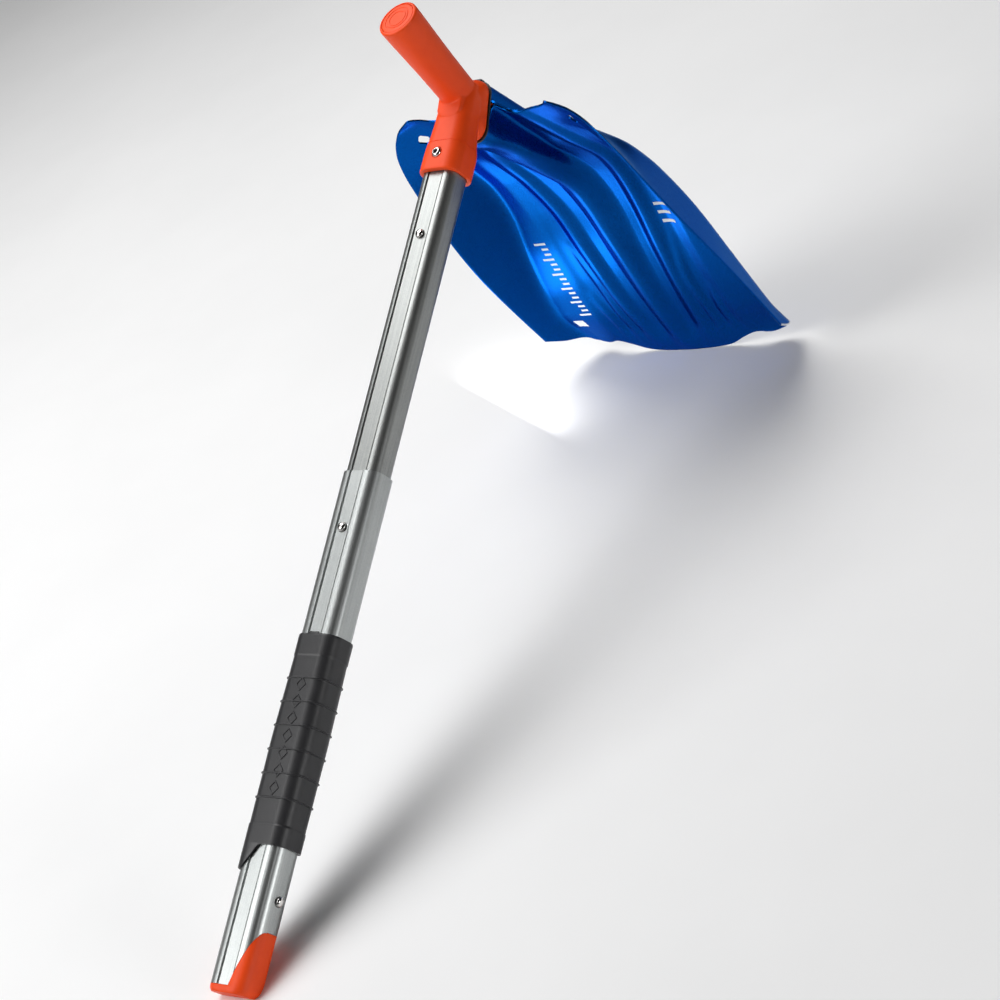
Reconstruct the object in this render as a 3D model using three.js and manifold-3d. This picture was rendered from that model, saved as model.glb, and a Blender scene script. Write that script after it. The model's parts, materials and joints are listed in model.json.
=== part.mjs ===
// A two-section avalanche shovel, assembled in hoe mode and standing on its
// blade's cutting edge and on the foot of its shaft. Millimetres, +Z up.
//
// The pieces are drawn in the shaft's own frame: the shaft runs up +Z from its
// cut end at the origin, the blade lies on the +X side, the T-grip on the -X
// side, and the XZ plane is the plane of symmetry. The whole group is then
// laid over so that the cutting edge and the foot both meet the floor.

import * as THREE from 'three';
import { mergeVertices } from 'three/addons/utils/BufferGeometryUtils.js';
import Module from 'manifold-3d';

const wasm = await Module();
wasm.setup();

// ---- driving dimensions ----------------------------------------------------

const FIT = 0.35;                  // clearance between pieces that touch

const TUBE = { width: 36.5, depth: 27.5, corner: 10, wall: 1.5 };
const BAND = { half: 6.8, depth: 0.8, land: 0.6 };
const SLIDER = {
  width: TUBE.width - 2 * TUBE.wall - 2 * FIT,
  depth: TUBE.depth - 2 * TUBE.wall - 2 * FIT,
  corner: TUBE.corner - TUBE.wall - FIT,
  wall: 1.4,
};

const TUBE_END_Z = -2.5;           // lower end of the lower tube
const MOUTH_Z = 385;               // upper end of the lower tube
const TRAVEL = 243.5;              // stroke of the telescope
const LOCK_Z = 339.4;              // button that holds the shaft extended
const STORE_Z = LOCK_Z + TRAVEL;   // button that holds the shaft collapsed
const BLADE_LOCK_Z = 61.2;         // side button that holds the blade on the shaft
const SLIDER_LOW_Z = 316;
const SLIDER_TOP_Z = 674;
const SOCKET_Z = 637;              // lower edge of the handle's socket
const SHOULDER_Z = 664;            // where the socket narrows into the hub
const SCREW_Z = 651.4;

const NECK = { x: 10, z: 706, tilt: THREE.MathUtils.degToRad(7.3) };
const STUB_LENGTH = 60;
const HEAD_LOCK_U = 36;            // lock button's place along the neck
const GRIP = { rootX: -9, rootZ: 708, endX: -94.8, endZ: 724.6, rootR: 14.7, endR: 16.9 };
const CAP_DEPTH = 9;

const SHEET = 1.8;                 // blade and neck plate thickness
const PLATE = 1.6;
const BUTTON_R = 3.6;
const BUTTON_HOLE_R = 4.1;
const SPRING = { width: 9, thickness: 0.8 };
const SLEEVE_GAP = 0.3;            // the sleeve's bore over the tube

// The floor touches the foot and the cutting edge: its slope against the shaft.
const FLOOR_TILT = THREE.MathUtils.degToRad(28.25);

// ---- helpers ---------------------------------------------------------------

const V = (x, y, z) => new THREE.Vector3(x, y, z);

function toSolid(geometry) {
  const bare = geometry.clone();
  bare.deleteAttribute('normal');
  bare.deleteAttribute('uv');
  const merged = mergeVertices(bare, 1e-4);
  return new wasm.Manifold(new wasm.Mesh({
    numProp: 3,
    vertProperties: new Float32Array(merged.attributes.position.array),
    triVerts: new Uint32Array(merged.index.array),
  }));
}

function toGeometry(solid) {
  const mesh = solid.getMesh();
  const geometry = new THREE.BufferGeometry();
  const stride = mesh.numProp;
  const count = mesh.vertProperties.length / stride;
  const position = new Float32Array(count * 3);
  for (let i = 0; i < count; i++) {
    for (let k = 0; k < 3; k++) position[3 * i + k] = mesh.vertProperties[stride * i + k];
  }
  geometry.setAttribute('position', new THREE.BufferAttribute(position, 3));
  geometry.setIndex(new THREE.BufferAttribute(new Uint32Array(mesh.triVerts), 1));
  geometry.computeVertexNormals();
  return geometry;
}

const join = (...geometries) => geometries.map(toSolid).reduce((a, b) => a.add(b));
const cut = (solid, ...geometries) => geometries.map(toSolid).reduce((a, b) => a.subtract(b), solid);

// A smooth function through a few (x, value) pairs.
function through(...points) {
  const slope = points.map((p, i) => {
    const a = points[Math.max(i - 1, 0)];
    const b = points[Math.min(i + 1, points.length - 1)];
    return (b[1] - a[1]) / (b[0] - a[0]);
  });
  return (x) => {
    let i = points.findIndex((p) => p[0] > x) - 1;
    if (x <= points[0][0]) return points[0][1] + slope[0] * (x - points[0][0]);
    if (i < 0) i = points.length - 2;
    const h = points[i + 1][0] - points[i][0];
    const t = Math.min((x - points[i][0]) / h, 1);
    const u = 1 - t;
    return points[i][1] * u * u * (1 + 2 * t) + points[i + 1][1] * t * t * (3 - 2 * t)
      + h * t * u * (slope[i] * u - slope[i + 1] * t);
  };
}

function roundedRect(depth, width, corner) {
  const x = depth / 2 - corner;
  const y = width / 2 - corner;
  const shape = new THREE.Shape();
  shape.absarc(x, y, corner, 0, Math.PI / 2);
  shape.absarc(-x, y, corner, Math.PI / 2, Math.PI);
  shape.absarc(-x, -y, corner, Math.PI, 1.5 * Math.PI);
  shape.absarc(x, -y, corner, 1.5 * Math.PI, 2 * Math.PI);
  shape.closePath();
  return shape;
}

// The tube's section: a rounded rectangle with a sunken band on its -X face.
function bandedRect(depth, width, corner, bandHalf, bandDepth) {
  const x = depth / 2 - corner;
  const y = width / 2 - corner;
  const shape = new THREE.Shape();
  shape.absarc(x, y, corner, 0, Math.PI / 2);
  shape.absarc(-x, y, corner, Math.PI / 2, Math.PI);
  shape.lineTo(-depth / 2, bandHalf);
  shape.lineTo(-depth / 2 + bandDepth, bandHalf);
  shape.lineTo(-depth / 2 + bandDepth, -bandHalf);
  shape.lineTo(-depth / 2, -bandHalf);
  shape.absarc(-x, -y, corner, Math.PI, 1.5 * Math.PI);
  shape.absarc(x, -y, corner, 1.5 * Math.PI, 2 * Math.PI);
  shape.closePath();
  return shape;
}

function prism(shape, low, high, curveSegments = 5) {
  const options = { depth: high - low, bevelEnabled: false, curveSegments };
  return new THREE.ExtrudeGeometry(shape, options).translate(0, 0, low);
}

// A prism whose sections are scaled copies, given as [z, scaleX, scaleY, shiftX].
function loft(shape, stations, curveSegments = 5) {
  const outline = shape.getPoints(curveSegments).slice(0, -1);
  const count = outline.length;
  const position = [];
  for (const [z, sx, sy, shift = 0] of stations) {
    for (const p of outline) position.push(p.x * sx + shift, p.y * sy, z);
  }
  const index = [];
  for (let k = 0; k < stations.length - 1; k++) {
    for (let i = 0; i < count; i++) {
      const a = k * count + i;
      const b = k * count + (i + 1) % count;
      index.push(a, b, b + count, a, b + count, a + count);
    }
  }
  const last = (stations.length - 1) * count;
  for (const [a, b, c] of THREE.ShapeUtils.triangulateShape(outline, [])) {
    index.push(a, c, b, last + a, last + b, last + c);
  }
  const geometry = new THREE.BufferGeometry();
  geometry.setAttribute('position', new THREE.Float32BufferAttribute(position, 3));
  geometry.setIndex(index);
  return geometry;
}

// A closed sheet of even thickness about a grid of mid-surface points.
function sheetSolid(grid, thickness) {
  const rows = grid.length;
  const columns = grid[0].length;
  const at = (i, j) => grid[Math.min(Math.max(i, 0), rows - 1)][Math.min(Math.max(j, 0), columns - 1)];
  const position = [];
  for (const side of [1, -1]) {
    for (let i = 0; i < rows; i++) {
      for (let j = 0; j < columns; j++) {
        const along = at(i + 1, j).clone().sub(at(i - 1, j));
        const across = at(i, j + 1).clone().sub(at(i, j - 1));
        const normal = along.cross(across).normalize();
        const p = grid[i][j].clone().addScaledVector(normal, side * thickness / 2);
        position.push(p.x, p.y, p.z);
      }
    }
  }
  const index = [];
  const quad = (a, b, c, d) => index.push(a, b, c, a, c, d);
  const id = (side, i, j) => side * rows * columns + i * columns + j;
  for (let i = 0; i < rows - 1; i++) {
    for (let j = 0; j < columns - 1; j++) {
      quad(id(0, i, j), id(0, i + 1, j), id(0, i + 1, j + 1), id(0, i, j + 1));
      quad(id(1, i, j), id(1, i, j + 1), id(1, i + 1, j + 1), id(1, i + 1, j));
    }
  }
  for (let i = 0; i < rows - 1; i++) {
    quad(id(0, i, 0), id(1, i, 0), id(1, i + 1, 0), id(0, i + 1, 0));
    quad(id(0, i + 1, columns - 1), id(1, i + 1, columns - 1), id(1, i, columns - 1), id(0, i, columns - 1));
  }
  for (let j = 0; j < columns - 1; j++) {
    quad(id(0, 0, j + 1), id(1, 0, j + 1), id(1, 0, j), id(0, 0, j));
    quad(id(0, rows - 1, j), id(1, rows - 1, j), id(1, rows - 1, j + 1), id(0, rows - 1, j + 1));
  }
  const geometry = new THREE.BufferGeometry();
  geometry.setAttribute('position', new THREE.Float32BufferAttribute(position, 3));
  geometry.setIndex(index);
  return geometry;
}

// A cylinder between two points.
function rod(from, to, radius, sides = 16) {
  const span = to.clone().sub(from);
  const geometry = new THREE.CylinderGeometry(radius, radius, span.length(), sides);
  geometry.applyQuaternion(new THREE.Quaternion().setFromUnitVectors(V(0, 1, 0), span.clone().normalize()));
  return geometry.translate(...from.clone().addScaledVector(span, 0.5).toArray());
}

// Turns a solid drawn about +Z so that its +Z points along a direction.
function aimed(geometry, origin, direction) {
  const turn = new THREE.Quaternion().setFromUnitVectors(V(0, 0, 1), direction.clone().normalize());
  return geometry.applyQuaternion(turn).translate(origin.x, origin.y, origin.z);
}

// Moves a solid drawn with +Z along the neck, +X towards its back, into place.
function alongNeck(geometry) {
  const frame = new THREE.Matrix4().makeBasis(neckUp, V(0, -1, 0), neckAlong);
  frame.setPosition(NECK.x, 0, NECK.z);
  return geometry.applyMatrix4(frame);
}
const neckAlong = V(Math.cos(NECK.tilt), 0, Math.sin(NECK.tilt));
const neckUp = V(-Math.sin(NECK.tilt), 0, Math.cos(NECK.tilt));
const neckPoint = (u, y, w) => V(NECK.x, y, NECK.z).addScaledVector(neckAlong, u).addScaledVector(neckUp, w);
const neckZ = (x, w) => NECK.z + (x - NECK.x) * Math.tan(NECK.tilt) + w / Math.cos(NECK.tilt);

// ---- the shaft -------------------------------------------------------------

function outerTube() {
  const outline = bandedRect(TUBE.depth, TUBE.width, TUBE.corner, BAND.half, BAND.depth);
  outline.holes.push(bandedRect(TUBE.depth - 2 * TUBE.wall, TUBE.width - 2 * TUBE.wall,
    TUBE.corner - TUBE.wall, BAND.half + BAND.land, BAND.depth));
  const tube = toSolid(prism(outline, TUBE_END_Z, MOUTH_Z));
  const lockHole = rod(V(-TUBE.depth, 0, LOCK_Z), V(0, 0, LOCK_Z), BUTTON_HOLE_R);
  const sideHole = rod(V(1, -TUBE.width, BLADE_LOCK_Z), V(1, 0, BLADE_LOCK_Z), BUTTON_HOLE_R);
  return toGeometry(cut(tube, lockHole, sideHole, scarf(0)));
}

const SCARF = { low: -20, high: 38.5, backX: -3, depth: 60 };

// The lower tube is cut away at the foot in a rounded scarf, which the plug fills:
// the whole back, and the -Y side up to a line that rises away from the front band.
function scarf(gap) {
  const top = SCARF.high + gap;
  const reach = TUBE.width;
  const back = new THREE.BoxGeometry(reach, SCARF.depth, top - SCARF.low);
  back.translate(SCARF.backX - gap + reach / 2, 0, (top + SCARF.low) / 2);
  const edge = [[4, TUBE_END_Z], [9.5, 15.5], [13.2, 27], [17, 35.5], [19, top]];
  const outline = [[4, SCARF.low], ...edge].map(([y, z]) => new THREE.Vector2(y - gap, z));
  outline.push(new THREE.Vector2(reach, top), new THREE.Vector2(reach, SCARF.low));
  const options = { depth: reach, bevelEnabled: false };
  const side = new THREE.ExtrudeGeometry(new THREE.Shape(outline), options);
  side.applyMatrix4(new THREE.Matrix4().makeBasis(V(0, 1, 0), V(0, 0, 1), V(1, 0, 0)));
  side.translate(1 - reach, 0, 0);
  return toGeometry(toSolid(back).add(toSolid(side).mirror([0, 1, 0])));
}

function innerTube() {
  const outline = bandedRect(SLIDER.depth, SLIDER.width, SLIDER.corner,
    BAND.half + BAND.land + FIT, BAND.depth);
  outline.holes.push(roundedRect(SLIDER.depth - 2 * SLIDER.wall - 2 * BAND.depth,
    SLIDER.width - 2 * SLIDER.wall, SLIDER.corner - SLIDER.wall - BAND.depth));
  const tube = toSolid(prism(outline, SLIDER_LOW_Z, SLIDER_TOP_Z));
  const holes = [LOCK_Z, STORE_Z].map((z) => rod(V(-TUBE.depth, 0, z), V(0, 0, z), BUTTON_HOLE_R));
  const screwHole = rod(V(-TUBE.depth, 0, SCREW_Z), V(0, 0, SCREW_Z), 2.9);
  return toGeometry(cut(tube, ...holes, screwHole));
}

const SLIDER_BORE = {
  depth: SLIDER.depth - 2 * SLIDER.wall - 2 * BAND.depth,
  width: SLIDER.width - 2 * SLIDER.wall,
  corner: SLIDER.corner - SLIDER.wall - BAND.depth,
};

// A plastic guide pressed into the lower end of the inner tube.
function slideGuide() {
  const core = roundedRect(SLIDER_BORE.depth - 2 * FIT, SLIDER_BORE.width - 2 * FIT,
    SLIDER_BORE.corner - FIT);
  core.holes.push(roundedRect(SLIDER_BORE.depth - 5, SLIDER_BORE.width - 5, SLIDER_BORE.corner - 2.5));
  const rim = bandedRect(SLIDER.depth, SLIDER.width, SLIDER.corner, BAND.half + BAND.land + FIT, BAND.depth);
  rim.holes.push(roundedRect(SLIDER_BORE.depth - 5, SLIDER_BORE.width - 5, SLIDER_BORE.corner - 2.5));
  return toGeometry(join(
    prism(core, SLIDER_LOW_Z - 1, SLIDER_LOW_Z + 10),
    prism(rim, SLIDER_LOW_Z - 3, SLIDER_LOW_Z - FIT),
  ));
}

const SLEEVE = { low: 79.5, high: 256, step: 98 };

// The rubber sleeve: a slim barrel with a collar at each end. Its lower edge
// steps down towards +Y, to meet the slanted mouth of the blade's neck.
function gripSleeve() {
  const walls = [[SLEEVE.low, 1.4], [SLEEVE.step + 2, 1.6], [112, 1.6], [113.5, 1.2], [150, 1.7],
    [175, 1.85], [205, 1.5], [238, 1.1], [239.5, 1.4], [SLEEVE.high - 1, 1.4], [SLEEVE.high, 1.1]];
  const stations = walls.map(([z, wall]) => [z, 1 + 2 * wall / TUBE.depth, 1 + 2 * wall / TUBE.width]);
  const body = toSolid(loft(roundedRect(TUBE.depth, TUBE.width, TUBE.corner), stations, 5));
  const bore = roundedRect(TUBE.depth + 2 * SLEEVE_GAP, TUBE.width + 2 * SLEEVE_GAP,
    TUBE.corner + SLEEVE_GAP);
  const hole = prism(bore, SLEEVE.low - 5, SLEEVE.high + 5, 5);
  const edge = [[-30, SLEEVE.step], [-3, SLEEVE.step], [1, 96], [5, 90], [11, 81], [14, SLEEVE.low]];
  const outline = [...edge, [14, SLEEVE.low - 5], [-30, SLEEVE.low - 5]]
    .map(([y, z]) => new THREE.Vector2(y, z));
  const step = new THREE.ExtrudeGeometry(new THREE.Shape(outline), { depth: 60, bevelEnabled: false });
  step.applyMatrix4(new THREE.Matrix4().makeBasis(V(0, 1, 0), V(0, 0, 1), V(1, 0, 0))).translate(-30, 0, 0);
  return toGeometry(cut(body, hole, step));
}

const FOOT_Z = -8;
const CORE_TOP_Z = 30;             // the plug is hollow above, where the spring is

// The orange foot plugs the lower tube, fills its scarf and ends in a slanted toe.
function endPlug() {
  const outside = roundedRect(TUBE.depth, TUBE.width, TUBE.corner);
  const filler = toSolid(prism(outside, FOOT_Z, 45)).intersect(toSolid(scarf(-FIT)));
  const end = toSolid(loft(outside, [[FOOT_Z, 0.9, 0.86, -0.6], [FOOT_Z + 3, 0.98, 0.96, -0.2],
    [TUBE_END_Z - FIT, 1, 1]]));
  const bore = bandedRect(TUBE.depth - 2 * TUBE.wall - 2 * FIT, TUBE.width - 2 * TUBE.wall - 2 * FIT,
    TUBE.corner - TUBE.wall - FIT, BAND.half + BAND.land + FIT, BAND.depth);
  const core = toSolid(prism(bore, FOOT_Z + 4, CORE_TOP_Z));
  const inside = roundedRect(TUBE.depth - 2 * TUBE.wall, TUBE.width - 2 * TUBE.wall, TUBE.corner - TUBE.wall);
  const hollow = prism(inside, CORE_TOP_Z, 2 * SCARF.high);
  const floor = new THREE.BoxGeometry(200, 200, 2 * MOUTH_Z + 1200);
  floor.translate(100, 0, 0).rotateY(FLOOR_TILT);
  floor.translate(floorPoint.x, 0, floorPoint.z);
  return toGeometry(cut(filler.add(end).add(core), hollow, floor));
}

// ---- snap buttons, springs and the handle screw ----------------------------

// A domed button about +Z: its flange bears on the inside of the wall at z = 0.
function button(wall) {
  const r = BUTTON_R;
  const top = wall + 3.4;
  const profile = [[0, -1.4], [r + 1.3, -1.4], [r + 1.3, -FIT], [r, -FIT], [r, top - 2.2]];
  for (let i = 1; i <= 3; i++) {
    const a = i * Math.PI / 6;
    profile.push([r * Math.cos(a), top - 2.2 + 2.2 * Math.sin(a)]);
  }
  profile[profile.length - 1][0] = 0;
  const points = profile.map(([x, y]) => new THREE.Vector2(x, y));
  return new THREE.LatheGeometry(points, 16).rotateX(Math.PI / 2);
}

// A U-shaped leaf spring: one leg under the button, one on the wall opposite.
function leafSpring(span, length, reach) {
  const t = SPRING.thickness;
  const r = span / 2;
  const shape = new THREE.Shape();
  shape.moveTo(-reach, 0);
  shape.lineTo(length - r, 0);
  shape.absarc(length - r, -r, r, Math.PI / 2, -Math.PI / 2, true);
  shape.lineTo(-reach, -span);
  shape.lineTo(-reach, -span + t);
  shape.lineTo(length - r, -span + t);
  shape.absarc(length - r, -r, r - t, -Math.PI / 2, Math.PI / 2, false);
  shape.lineTo(-reach, -t);
  shape.closePath();
  const options = { depth: SPRING.width, bevelEnabled: false, curveSegments: 6 };
  const leaf = new THREE.ExtrudeGeometry(shape, options);
  return leaf.translate(0, 0, -SPRING.width / 2);
}

// Springs are drawn with the button's way out along +Y and the bend along +X.
function placedSpring(span, length, reach, origin, along, out) {
  const frame = new THREE.Matrix4().makeBasis(along, out, along.clone().cross(out));
  return leafSpring(span, length, reach).applyMatrix4(frame.setPosition(origin));
}

const SPRING_DROP = 1.4 + FIT;     // the leaf lies under the button's flange

// ---- the handle ------------------------------------------------------------

const gripRoot = V(GRIP.rootX, 0, GRIP.rootZ);
const gripEnd = V(GRIP.endX, 0, GRIP.endZ);
const gripAlong = gripEnd.clone().sub(gripRoot).normalize();
const gripLength = gripEnd.distanceTo(gripRoot);

function gripBody() {
  const edge = GRIP.endR - 1.2;
  const profile = [[0, -10], [GRIP.rootR - 5, -10], [GRIP.rootR, -3], [GRIP.rootR, 8],
    [GRIP.rootR + 0.9, 0.55 * gripLength], [GRIP.endR, gripLength - 6],
    [GRIP.endR, gripLength - 1.5], [edge, gripLength], [0, gripLength]];
  const points = profile.map(([x, y]) => new THREE.Vector2(x, y));
  return aimed(new THREE.LatheGeometry(points, 24).rotateX(Math.PI / 2), gripRoot, gripAlong);
}

const SOCKET = { depth: 33.2, width: 38.8, corner: 12 };
const FLANGE = { height: 40.5, width: 33, corner: 12.5, thickness: 9 };

function handleBody() {
  const socket = loft(roundedRect(SOCKET.depth, SOCKET.width, SOCKET.corner), [
    [SOCKET_Z, 1.0, 1.0], [SHOULDER_Z - 5, 0.985, 0.985], [SHOULDER_Z, 0.9, 0.93, -0.5],
    [682, 0.76, 0.88, -2.2], [704, 0.66, 0.84, -3.5], [716, 0.5, 0.7, -4]], 5);
  const flange = alongNeck(loft(roundedRect(FLANGE.height, FLANGE.width, FLANGE.corner),
    [[-28, 0.5, 0.7, -2], [-14, 0.84, 0.9, -1], [-FLANGE.thickness, 0.97, 0.98],
      [-2.5, 1, 1], [-1.2, 0.98, 0.97]], 5));
  const stub = alongNeck(prism(roundedRect(TUBE.width, TUBE.depth, TUBE.corner), -5, STUB_LENGTH, 5));
  const body = join(socket, flange, stub, gripBody());
  const tubeBore = prism(roundedRect(SLIDER.depth + 2 * FIT, SLIDER.width + 2 * FIT, SLIDER.corner + FIT),
    SOCKET_Z - 10, SLIDER_TOP_Z + FIT);
  const stubHollow = roundedRect(TUBE.width - 6, TUBE.depth - 6, TUBE.corner - 3);
  const stubBore = alongNeck(prism(stubHollow, 8, STUB_LENGTH + 5));
  const gripBore = aimed(new THREE.CylinderGeometry(GRIP.endR - 4, GRIP.endR - 4, 62, 24).rotateX(Math.PI / 2)
    .translate(0, 0, gripLength - 31 + 5), gripRoot, gripAlong);
  const capSeat = aimed(new THREE.CylinderGeometry(GRIP.endR - 2.2, GRIP.endR - 2.2, 8, 28).rotateX(Math.PI / 2)
    .translate(0, 0, gripLength - 2.4 + 4), gripRoot, gripAlong);
  const screwHole = rod(V(-30, 0, SCREW_Z), V(0, 0, SCREW_Z), 2.9);
  const screwSeat = rod(V(-30, 0, SCREW_Z), V(-SOCKET.depth / 2 + 1.2, 0, SCREW_Z), 4.8);
  const lockHole = rod(neckPoint(HEAD_LOCK_U, 0, 8), neckPoint(HEAD_LOCK_U, 0, 30), BUTTON_HOLE_R);
  return toGeometry(cut(body, tubeBore, stubBore, gripBore, capSeat, screwHole, screwSeat, lockHole));
}

function gripCap() {
  const r = GRIP.endR - 2.2 - FIT;
  const plug = GRIP.endR - 4 - FIT;
  const top = gripLength;
  const profile = [[0, top - CAP_DEPTH], [plug, top - CAP_DEPTH], [plug, top - 2.4 + FIT],
    [r, top - 2.4 + FIT], [r, top - 0.4], [r - 0.4, top], [0, top]];
  const points = profile.map(([x, y]) => new THREE.Vector2(x, y));
  return aimed(new THREE.LatheGeometry(points, 24).rotateX(Math.PI / 2), gripRoot, gripAlong);
}

// The screw's head sits in the socket's face; its shank ends in the barrel nut.
function handleScrew() {
  const seat = SOCKET.depth / 2 - 1.2 + FIT;
  const profile = [[0, 4.5], [2.5, 4.5], [2.5, seat], [4.3, seat], [4.3, seat + 1.4], [3.4, seat + 2.6],
    [2.0, seat + 2.8], [1.6, seat + 0.8], [0, seat + 0.8]];
  const points = profile.map(([x, y]) => new THREE.Vector2(x, y));
  return aimed(new THREE.LatheGeometry(points, 20).rotateX(Math.PI / 2), V(0, 0, SCREW_Z), V(-1, 0, 0));
}

function barrelNut() {
  const half = SLIDER_BORE.depth / 2 - FIT;
  const end = SLIDER_BORE.width / 2 - 5;
  const nut = toSolid(rod(V(0, -end, SCREW_Z), V(0, end, SCREW_Z), half, 24));
  return toGeometry(cut(nut, rod(V(-half - 2, 0, SCREW_Z), V(half + 2, 0, SCREW_Z), 2.5 + FIT)));
}

// ---- the blade -------------------------------------------------------------

const BLADE = { rearX: 15.8, cornerX: 309, bend: 9, lip: 7, lipHalf: 75 };

const rimHalf = through([12, 70], [15.8, 75.8], [24, 88], [38, 99], [60, 106.6], [96, 112.4],
  [150, 119.1], [206, 124.2], [262, 125.4], [309, 125]);
const rimZ = through([12, 703.5], [24, 699.3], [47, 689.6], [96, 677], [150, 666.2], [206, 658],
  [309, 647.5], [361, 643]);
const floorZ = through([20, 708.5], [50, 711], [80, 714.5], [117, 717], [150, 717], [191, 709], [235, 692],
  [277, 677], [321, 665], [342, 659.5], [361, 656.8]);
const ridgeZ = through([10, neckZ(10, -19.5)], [40, neckZ(40, -19.5)], [67, 692.5], [106, 699.5], [148, 706],
  [179, 702], [214, 691], [268, 674.5], [305, 664.2], [343, 656.8], [361, 656.8]);
const ridgeHalf = through([10, 15], [40, 15], [72, 15], [84, 15.6], [110, 20], [150, 24],
  [235, 19], [361, 13]);
const rearX = through([0, 14.6], [13, 14.4], [16, 12.6], [18.5, 27], [30, 28], [45, 26.5],
  [58, 24], [64.5, 17.9], [69.3, 13], [75.8, 15.8]);
const frontX = through([0, 360.3], [30, 360.3], [45, 358.4], [60, 352], [73.8, 349.3], [86, 355], [96, 354.5],
  [105, 349], [116, 333], [125, 309]);
const panelSlope = through([16, 0.55], [55, 0.62], [80, 1.0], [108, 1.5], [150, 1.65], [361, 1.65]);

// How far the middle of the sheet stands below its floor: square under the
// neck, then a rounded ridge. a is the distance from the middle over the half.
const squareDrop = through([0, 1], [0.3, 1], [0.7, 0.95], [0.9, 0.86], [0.98, 0.72],
  [1.0, 0.45], [1.04, 0.2], [1.14, 0.03], [1.3, 0]);
function ridgeDrop(a, x) {
  const round = a < 2.2 ? 0.5 + 0.5 * Math.cos(Math.PI * a / 2.2) : 0;
  const square = a < 1.3 ? squareDrop(a) : 0;
  const blend = THREE.MathUtils.smoothstep(x, 80, 124);
  return square * (1 - blend) + round * blend;
}

const smoothMin = (a, b, r) => {
  const h = Math.max(r - Math.abs(a - b), 0) / r;
  return Math.min(a, b) - h * h * r / 4;
};

function bladeHeight(x, y) {
  const half = Math.abs(y);
  const lip = BLADE.lip * THREE.MathUtils.smoothstep(x, 300, 350) * Math.min(half / BLADE.lipHalf, 1.3) ** 2;
  const floor = floorZ(x) + lip + (ridgeZ(x) - floorZ(x)) * ridgeDrop(half / ridgeHalf(x), x);
  const panel = rimZ(x) + panelSlope(x) * (rimHalf(Math.min(x, BLADE.cornerX)) - half);
  return smoothMin(floor, panel, BLADE.bend);
}

const INNER_COLUMNS = [0, 0.4, 0.75, 0.93, 1.0, 1.06, 1.3];
const OUTER_COLUMNS = [0.18, 0.38, 0.526, 0.639, 0.815, 0.917, 1];
const BLADE_ROWS = 24;

function bladeRow(s) {
  const rimX = BLADE.rearX + (BLADE.cornerX - BLADE.rearX) * s;
  const guess = 10 + 350 * s;
  const inner = INNER_COLUMNS.map((a) => a * ridgeHalf(guess));
  const base = inner[inner.length - 1];
  const outer = OUTER_COLUMNS.map((b) => base + (rimHalf(rimX) - base) * b);
  const half = [...inner, ...outer].map((y) => {
    const edgeRear = rearX(Math.min(y, 75.8));
    const share = y / rimHalf(rimX);
    const edgeFront = frontX(share * 125);
    const rear = edgeRear + (rearX(share * 75.8) - edgeRear) * THREE.MathUtils.smoothstep(s, 0, 0.3);
    const x = rear + (edgeFront - rear) * s;
    return V(x, y, bladeHeight(x, y));
  });
  const mirrored = half.slice(1).reverse().map((p) => V(p.x, -p.y, p.z));
  return [...mirrored, ...half];
}

const LASH = { x: 43.4, y: 76.5, long: 7, short: 6 };

function lashCutter(side) {
  const z = bladeHeight(LASH.x, LASH.y);
  const slopeY = bladeHeight(LASH.x, LASH.y + 1) - z;
  const slopeX = bladeHeight(LASH.x + 1, LASH.y) - z;
  const diamond = new THREE.Shape([
    new THREE.Vector2(-LASH.long, 0), new THREE.Vector2(0, -LASH.short),
    new THREE.Vector2(LASH.long, 0), new THREE.Vector2(0, LASH.short)]);
  const cutter = new THREE.ExtrudeGeometry(diamond, { depth: 12, bevelEnabled: false }).translate(0, 0, -6);
  return aimed(cutter, V(LASH.x, side * LASH.y, z), V(-slopeX, -side * slopeY, 1));
}

const RIVETS = [[40, 23.5], [72, 23.5]];
const RIVET = { shank: 2, head: 4, hole: 2 + FIT, thick: 1.5, gap: 0.5 };
const rivetSpots = [...RIVETS, ...RIVETS.map(([x, y]) => [x, -y])];

function rivetFrame([x, y]) {
  const z = bladeHeight(x, y);
  const slopeX = (bladeHeight(x + 1, y) - bladeHeight(x - 1, y)) / 2;
  const slopeY = (bladeHeight(x, y + 1) - bladeHeight(x, y - 1)) / 2;
  return { origin: V(x, y, z), normal: V(-slopeX, -slopeY, 1).normalize() };
}

function rivetHole(spot) {
  const { origin, normal } = rivetFrame(spot);
  const start = origin.clone().addScaledVector(normal, -8);
  const end = origin.clone().addScaledVector(normal, 8);
  return rod(start, end, RIVET.hole, 14);
}

function rivet(spot) {
  const { origin, normal } = rivetFrame(spot);
  const low = -SHEET / 2 - RIVET.gap;
  const high = SHEET / 2 + PLATE + 2 * RIVET.gap + 0.3;
  const profile = [[0, low - RIVET.thick], [2.4, low - RIVET.thick + 0.3],
    [RIVET.head, low - 0.4], [RIVET.head, low],
    [RIVET.shank, low], [RIVET.shank, high], [RIVET.head, high], [RIVET.head, high + 0.4],
    [2.4, high + RIVET.thick - 0.3], [0, high + RIVET.thick]];
  const points = profile.map(([x, y]) => new THREE.Vector2(x, y));
  return aimed(new THREE.LatheGeometry(points, 12).rotateX(Math.PI / 2), origin, normal);
}

function blade() {
  const rows = [];
  for (let i = 0; i <= BLADE_ROWS; i++) rows.push(bladeRow(i / BLADE_ROWS));
  const sheet = toSolid(sheetSolid(rows, SHEET));
  return toGeometry(cut(sheet, lashCutter(1), lashCutter(-1), ...rivetSpots.map(rivetHole)));
}

// The plate on the blade's back: a hood over the stub, with riveted flanges.
const HOOD = { w: 19.4, length: 68, closed: 84, flange: 30 };

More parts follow.
